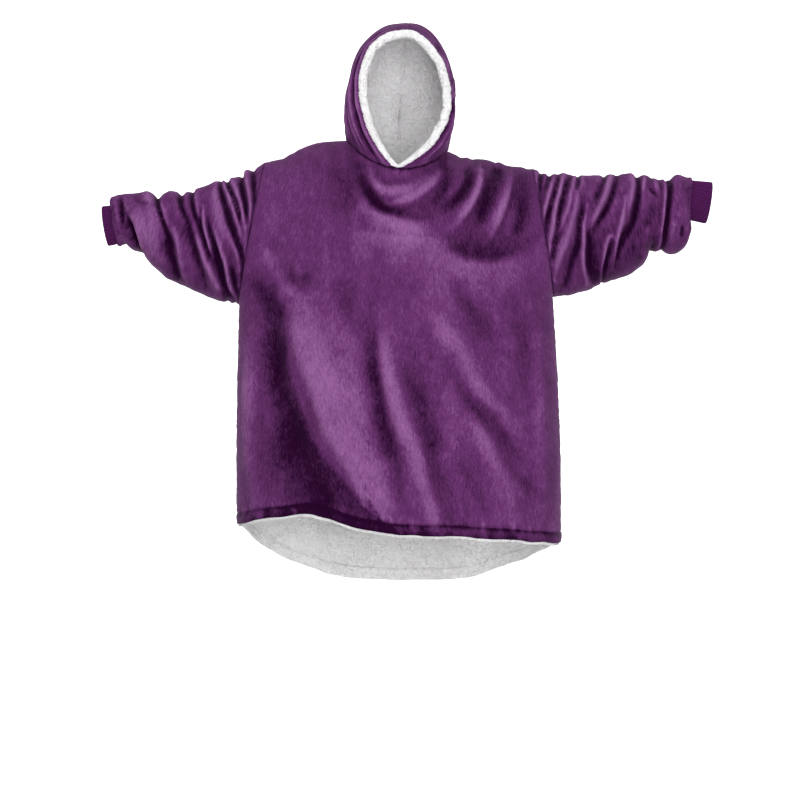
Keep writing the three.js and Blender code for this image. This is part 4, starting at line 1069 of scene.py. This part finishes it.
# Hood halves: crown point and the two handles of each curve, from the face edge (w 0) to the back (w 1)
hoodColumns = "w crownX crownY crownZ x1 y1 z1 x2 y2 z2"
hoodShape = dict(left=tableOf(hoodColumns, [
    [0, 24, -108, 261, -125, -118, 50, -125, -112, 272], [0.2, 22, -66, 280, -150, -84, 78, -128, -66, 289],
    [0.5, 18, 0, 290, -142, -6, 112, -122, 2, 298], [0.78, 11, 92, 250, -120, 88, 120, -100, 96, 250],
    [1, 2, 136, 160, -4, 112, 66, -1, 146, 110]]),
    right=tableOf(hoodColumns, [
    [0, 24, -108, 261, 216, -118, 52, 80, -112, 253], [0.2, 22, -66, 280, 200, -84, 64, 108, -66, 277],
    [0.5, 18, 0, 290, 146, -6, 90, 124, 2, 289], [0.78, 11, 92, 250, 120, 88, 104, 102, 96, 247],
    [1, 2, 136, 160, -4, 112, 66, -1, 146, 110]]))
hoodLook = dict(rows=150, columns=165, seamInset=0.15, crownDrop=0.8, neckRows=8, slack=1.8, liningSink=2.2,
                liningTuft=4.2, hollow=0.055, crest=0.19, seamShade=0.9, seamWidth=6,
                crinkle=dict(left=0.8, right=3.0))  # small crinkles half way up each half
# Rim of the face edge: its radius, how far in front of the edge it lies, its tufts and its locks
rimLook = dict(radius=7.8, forward=0.5, sink=4.3, tuft=7.5, smallTuft=3.6, tuftHeight=7.6, lock=6.5,
               lockHeight=8.0, rows=260, sides=34, flatEnd=25)
# Creases of a hood half: where on w at the lower and at the upper end, from and to along s, width and height
hoodCreases = dict(left=[
    [0.085, 0.08, -0.10, 0.95, 0.028, 5], [0.165, 0.13, -0.05, 0.85, 0.030, -12],
    [0.235, 0.20, 0.03, 0.60, 0.012, 8],
    [0.27, 0.23, 0.05, 0.60, 0.018, -6], [0.33, 0.31, 0.02, 0.50, 0.030, 6],
    [0.40, 0.36, 0.02, 0.40, 0.030, -8], [0.45, 0.42, 0.05, 0.35, 0.045, 6],
    [0.72, 0.70, 0.03, 0.30, 0.050, -5]],
    right=[
    [0.10, 0.09, 0.02, 0.45, 0.025, -6], [0.16, 0.14, 0.02, 0.40, 0.020, 7],
    [0.26, 0.22, 0.02, 0.40, 0.035, -8],
    [0.36, 0.30, 0.03, 0.36, 0.030, 7], [0.30, 0.25, 0.50, 0.95, 0.040, -4],
    [0.60, 0.55, 0.02, 0.30, 0.050, 5]])
# Bands of painted shade and painted highlight in the same columns as the creases, with a tone in place of the
# height
hoodShadeBands = dict(left=[
    [0.085, 0.08, -0.15, 1.0, 0.036, 0.7], [0.17, 0.13, -0.05, 0.88, 0.040, -1.1],
    [0.235, 0.20, 0.03, 0.62, 0.010, 0.5],
    [0.27, 0.23, 0.03, 0.62, 0.022, -0.6], [0.34, 0.30, -0.1, 0.4, 0.045, 0.4],
    [0.12, 0.10, 0.7, 1.2, 0.08, -0.3]],
    right=[
    [0.07, 0.07, -0.10, 1.1, 0.035, 0.4], [0.15, 0.13, 0.10, 0.45, 0.030, -0.6],
    [0.22, 0.2, -0.1, 0.34, 0.050, 0.55],
    [0.10, 0.10, 0.75, 1.3, 0.10, -0.4], [0.09, 0.12, 0.68, 0.75, 0.05, -0.8],
    [0.10, 0.14, 0.47, 0.53, 0.05, -0.8],
    [0.08, 0.13, 0.31, 0.37, 0.06, -0.9], [0.07, 0.12, 0.20, 0.26, 0.03, -0.6],
    [0.09, 0.14, 0.39, 0.44, 0.04, 0.6],
    [0.08, 0.12, 0.57, 0.62, 0.04, 0.6]])


# Neckline of a hood half: from the throat over the shoulder corner (w 0.5) to the nape
def neckPoints(hand, w):
    q = 0.5 + (-1 if hand == "left" else 1) * np.minimum(w, 1 - w)
    fraction = mix(neckStart, neckEnd, q)
    gap = cloth["seamGap"]
    points = []
    for side, facing in (("front", -1), ("back", 1)):
        x, z, depth = panelTop(side, fraction)[:3]
        points.append(np.stack([x, facing * (depth + gap / 2), z + gap], -1))
    return np.where((w <= 0.5)[:, None], points[0], points[1])


# Sum of bells across w whose middle follows a line along s, and whose height swells and fades along it
def hoodField(lines, w, along):
    total = 0 * (w + along)
    for wLow, wHigh, start, end, width, height in lines:
        t = np.clip((along - start) / (end - start), 0, 1)
        total += height * np.sin(np.pi * t) * bell(w - mix(wLow, wHigh, t), width)
    return total


# Outer surface of a hood half: for each w a cubic curve from the neckline over two handles to the crown seam,
# moved outwards by creases, crinkles and seams; both seams stay in their plane
def hoodGrid(hand):
    outward = -1 if hand == "left" else 1
    w = np.linspace(0, 1, thirds(hoodLook["columns"]))
    s = np.linspace(0, 1, thirds(hoodLook["rows"]))[:, None, None]
    shape = hoodShape[hand]
    handle = lambda names: np.stack([follow(shape, "w", name, w) for name in names.split()], -1)
    base = (1 - s) ** 3 * neckPoints(hand, w) + 3 * s * (1 - s) ** 2 * handle("x1 y1 z1") \
        + 3 * s ** 2 * (1 - s) * handle("x2 y2 z2") + s ** 3 * handle("crownX crownY crownZ")
    middle = np.array([0, 0, 110.0])
    out = normalsOf(base, False, middle)
    along = s[..., 0]
    relief = hoodField(hoodCreases[hand], w[None, :], along)
    x, y, z = base[..., 0], base[..., 1], base[..., 2]
    fromNeck = lengthAlong(base, 0)
    fromCrown = fromNeck[-1:] - fromNeck
    run = lengthAlong(base, 1)
    relief = relief + hoodLook["slack"] * softNoise(x, y, z, 32, 81) * ease(fromCrown / 30)
    crinkled = bell(along - 0.42, 0.2) * bell(w[None, :], 0.3)  # half way up, near the face edge
    relief = relief + hoodLook["crinkle"][hand] * softNoise(x * 0.5, y * 0.5, z, 9, 82) * crinkled
    relief = relief + seamRelief(fromCrown, run, 83, puff=0.3, line=1.5) + seamRelief(fromNeck, run, 85)
    relief = relief + seamRelief(run[:, -1:] - run, fromNeck, 87)
    folded = base + out * relief[..., None]
    folded[-1] = base[-1] - np.array([0, 0, hoodLook["crownDrop"]])
    folded[:, -1] = base[:, -1]
    folded[0] = base[0]
    folded[-1, :, 0] += outward * hoodLook["seamInset"]
    folded[:, -1, 0] += outward * hoodLook["seamInset"]
    normals = normalsOf(folded, False, middle)
    normals[-1, -1] = normals[-2, -2]
    return folded, normals, relief, run, fromNeck


# An inward step doesn't cross the hood's middle at its seams, and is level at the neckline
def keepHood(hand, step):
    outward = -1 if hand == "left" else 1
    step[-1, :, 0] = 0
    step[:, -1, 0] = 0
    step[0, 0, 0] = max(step[0, 0, 0] * outward, 0) * outward
    step[:hoodLook["neckRows"], :, 2] *= np.linspace(0, 1, hoodLook["neckRows"])[:, None]
    return step


# Plush and sherpa of a hood half, the sherpa joined with the rim
def hoodPieces(hand):
    grid, normals, relief, run, fromNeck = hoodGrid(hand)
    w = np.linspace(0, 1, grid.shape[1])[None, :]
    along = np.linspace(0, 1, grid.shape[0])[:, None]
    # Painted shade in the creases and painted highlights on the crests, bands of both, and painted shade
    # along the neck seam
    shadeAndNap = shadeAndNapOf(relief, hoodLook["hollow"], hoodLook["crest"], hoodField(hoodShadeBands[hand], w, along))
    shadeAndNap = shadeAndNap - hoodLook["seamShade"] * bell(fromNeck, hoodLook["seamWidth"])
    normals = smoothed(normals, 3)
    normals /= np.linalg.norm(normals, axis=2, keepdims=True)
    uv = np.stack([run, fromNeck], -1)
    inner = grid + keepHood(hand, -cloth["plushWall"] * normals)
    outside = shell("plush_hood_" + hand, grid, inner, plush, dict(shadeAndNap=shadeAndNap), uv)
    # Sherpa inside the half, tufted on its free face, and the rolled rim along the face edge
    curl = liningTufts(run, fromNeck, 91, (2, 4))
    fromSeams = np.minimum(np.minimum(fromNeck[-1:] - fromNeck, run[:, -1:] - run), fromNeck)
    thick = cloth["hoodLiningWall"] - hoodLook["liningSink"]
    thick = thick + hoodLook["liningTuft"] * curl * ease(fromSeams / 10)
    near = inner + keepHood(hand, -cloth["layerGap"] * normals)
    far = near + keepHood(hand, -thick[..., None] * normals)
    inside = shell("sherpa_hood_" + hand, far, near, sherpa, dict(tuft=curl), uv)
    rim = rimPiece(hand, grid, normals)
    bpy.context.view_layer.update()
    joinInto(inside, rim)
    return outside, inside


# Rim of the face edge: a tube carried along the edge from the throat to the crown, its ends closed. Its
# radius grows with tufts all round and with locks toward the inside of the face opening
def rimPiece(hand, grid, normals):
    edge, inward = grid[:, 0], -normals[:, 0]
    forward = grid[:, 0] - grid[:, 3]
    forward -= (forward * inward).sum(1, keepdims=True) * inward
    forward /= np.linalg.norm(forward, axis=1, keepdims=True)
    radius = rimLook["radius"]
    centre = edge + inward * (cloth["plushWall"] + radius * 0.55) + forward * rimLook["forward"]
    run = np.concatenate([[0], np.cumsum(np.linalg.norm(np.diff(centre, axis=0), axis=1))])
    even = np.linspace(0, run[-1], rimLook["rows"])
    pick = lambda values: np.stack([np.interp(even, run, values[:, k]) for k in range(3)], -1)[:, None, :]
    angle = np.linspace(0, 2 * np.pi, rimLook["sides"], endpoint=False)[None, :]
    along, around = even[:, None] + 0 * angle, angle * radius + 0 * even[:, None]
    curl = tufts(along, around, rimLook["tuft"], 95)
    curl = 0.5 * curl + 0.5 * tufts(along, around, rimLook["smallTuft"], 96)
    size = radius - rimLook["sink"] + rimLook["tuftHeight"] * curl
    locks = tufts(along, around * 0.3, rimLook["lock"], 97) - 0.5
    size = size + rimLook["lockHeight"] * locks * np.clip(np.sin(angle), 0, 1) ** 2
    size = size * (0.25 + 0.75 * ease((along + 2) / 10))
    points = pick(centre) + (np.cos(angle) * size)[..., None] * pick(forward) \
        + (np.sin(angle) * size * 0.85)[..., None] * pick(inward)
    # Its upper end lies flat against the other half's, on the crown seam
    outward = -1 if hand == "left" else 1
    beyond = (points[..., 0] - edge[-1, 0]) * outward < 0
    beyond[-1] = True
    nearCrown = (even > run[-1] - rimLook["flatEnd"])[:, None]
    points[..., 0] = np.where(beyond & nearCrown, edge[-1, 0], points[..., 0])
    index = numbered(size.shape, 0, wrapped=True)
    faces = [quadsOf(index), index[:1, :-1][:, ::-1], index[-1:, :-1]]
    uv = np.stack([along, around], -1).reshape(-1, 2)
    return putMesh("sherpa_rim_" + hand, points.reshape(-1, 3), faces, sherpa, dict(tuft=curl.ravel()), uv)


# Makes one object of two
def joinInto(target, other):
    with bpy.context.temp_override(active_object=target, object=target, selected_objects=[target, other],
                                   selected_editable_objects=[target, other]):
        bpy.ops.object.join()


hoods = {hand: hoodPieces(hand) for hand in ("left", "right")}
print("hood made")

dress(frontPiece, "body_front")
dress(backPiece, "body_back")
dress(frontLining, "lining_front")
dress(backLining, "lining_back")
for hand in ("left", "right"):
    dress(sleeves[hand], "sleeve_" + hand)
    dress(cuffPieces[hand], "cuff_" + hand)
    dress(hoods[hand][0], "hood_" + hand)
    dress(hoods[hand][1], "hood_lining_" + hand)

# Floor, backdrop, lights and camera
studio = dict(floor=-1.457, radius=14.0, wallSides=48, world=0.74, aim=(0, 0, -0.4),
              cameraPlace=(0.0, -5.0, -0.458), tilt=1.484, lens=95.8, sensor=36, farthest=100)
# Name, place and size in metres, and power in watts
lights = [("key", (-2.4, -2.9, 2.6), 1.3, 54), ("fill", (3.4, -3.2, 0.6), 2.0, 22),
          ("top", (0.4, 0.3, 3.2), 1.8, 36), ("front", (0.2, -4.6, 0.5), 2.2, 112),
          ("low front", (0.6, -3.0, -1.3), 1.6, 64)]


def plainMaterial(name, colour, glow):
    make = Make(name)
    return make.finish(colour, 0.9, None, Emission_Color=colour, Emission_Strength=glow,
                       Specular_IOR_Level=0.0)


# A part of the studio that doesn't belong to the garment
def stagePiece(name, points, faces, material):
    mesh = bpy.data.meshes.new(name)
    mesh.from_pydata(points, [], faces)
    obj = bpy.data.objects.new(name, mesh)
    bpy.context.scene.collection.objects.link(obj)
    mesh.materials.append(material)
    return obj


def setStudio():
    r, z, sides = studio["radius"], studio["floor"], studio["wallSides"]
    stagePiece("floor", [(-r, -r, z), (r, -r, z), (r, r, z), (-r, r, z)], [(0, 1, 2, 3)],
               plainMaterial("floor white", (0.93, 0.93, 0.93, 1), 0.8)).visible_diffuse = False
    turn = np.linspace(0, 2 * np.pi, sides, endpoint=False)
    wallPoints = [(r * math.cos(a), r * math.sin(a), h) for h in (z, r) for a in turn]
    wallFaces = [(k, (k + 1) % sides, sides + (k + 1) % sides, sides + k) for k in range(sides)]
    wallFaces.append(tuple(range(sides, 2 * sides)))
    white = plainMaterial("backdrop white", (1, 1, 1, 1), 1.0)
    backdrop = stagePiece("backdrop", wallPoints, wallFaces, white)
    for reach in ("diffuse", "glossy", "transmission", "volume_scatter", "shadow"):
        setattr(backdrop, "visible_" + reach, False)
    world = bpy.data.worlds.new("studio")
    bpy.context.scene.world = world
    world.use_nodes = True
    world.node_tree.nodes["Background"].inputs[0].default_value = (1, 1, 1, 1)
    world.node_tree.nodes["Background"].inputs[1].default_value = studio["world"]
    for name, place, size, power in lights:
        light = bpy.data.lights.new(name, "AREA")
        light.shape, light.size, light.energy = "DISK", size, power
        lamp = bpy.data.objects.new(name, light)
        bpy.context.scene.collection.objects.link(lamp)
        lamp.location = place
        aim = np.array(studio["aim"]) - np.array(place)
        yaw = math.atan2(aim[1], aim[0])
        pitch = math.atan2(math.hypot(aim[0], aim[1]), -aim[2])
        lamp.rotation_euler = (pitch, 0, yaw - math.pi / 2)
    camera = bpy.data.cameras.new("camera")
    camera.lens, camera.sensor_width, camera.clip_end = studio["lens"], studio["sensor"], studio["farthest"]
    view = bpy.data.objects.new("camera", camera)
    bpy.context.scene.collection.objects.link(view)
    view.location = studio["cameraPlace"]
    view.rotation_euler = (math.radians(90 - studio["tilt"]), 0, 0)
    bpy.context.scene.camera = view
    bpy.context.scene.view_settings.view_transform = "Standard"


setStudio()
print("studio set")
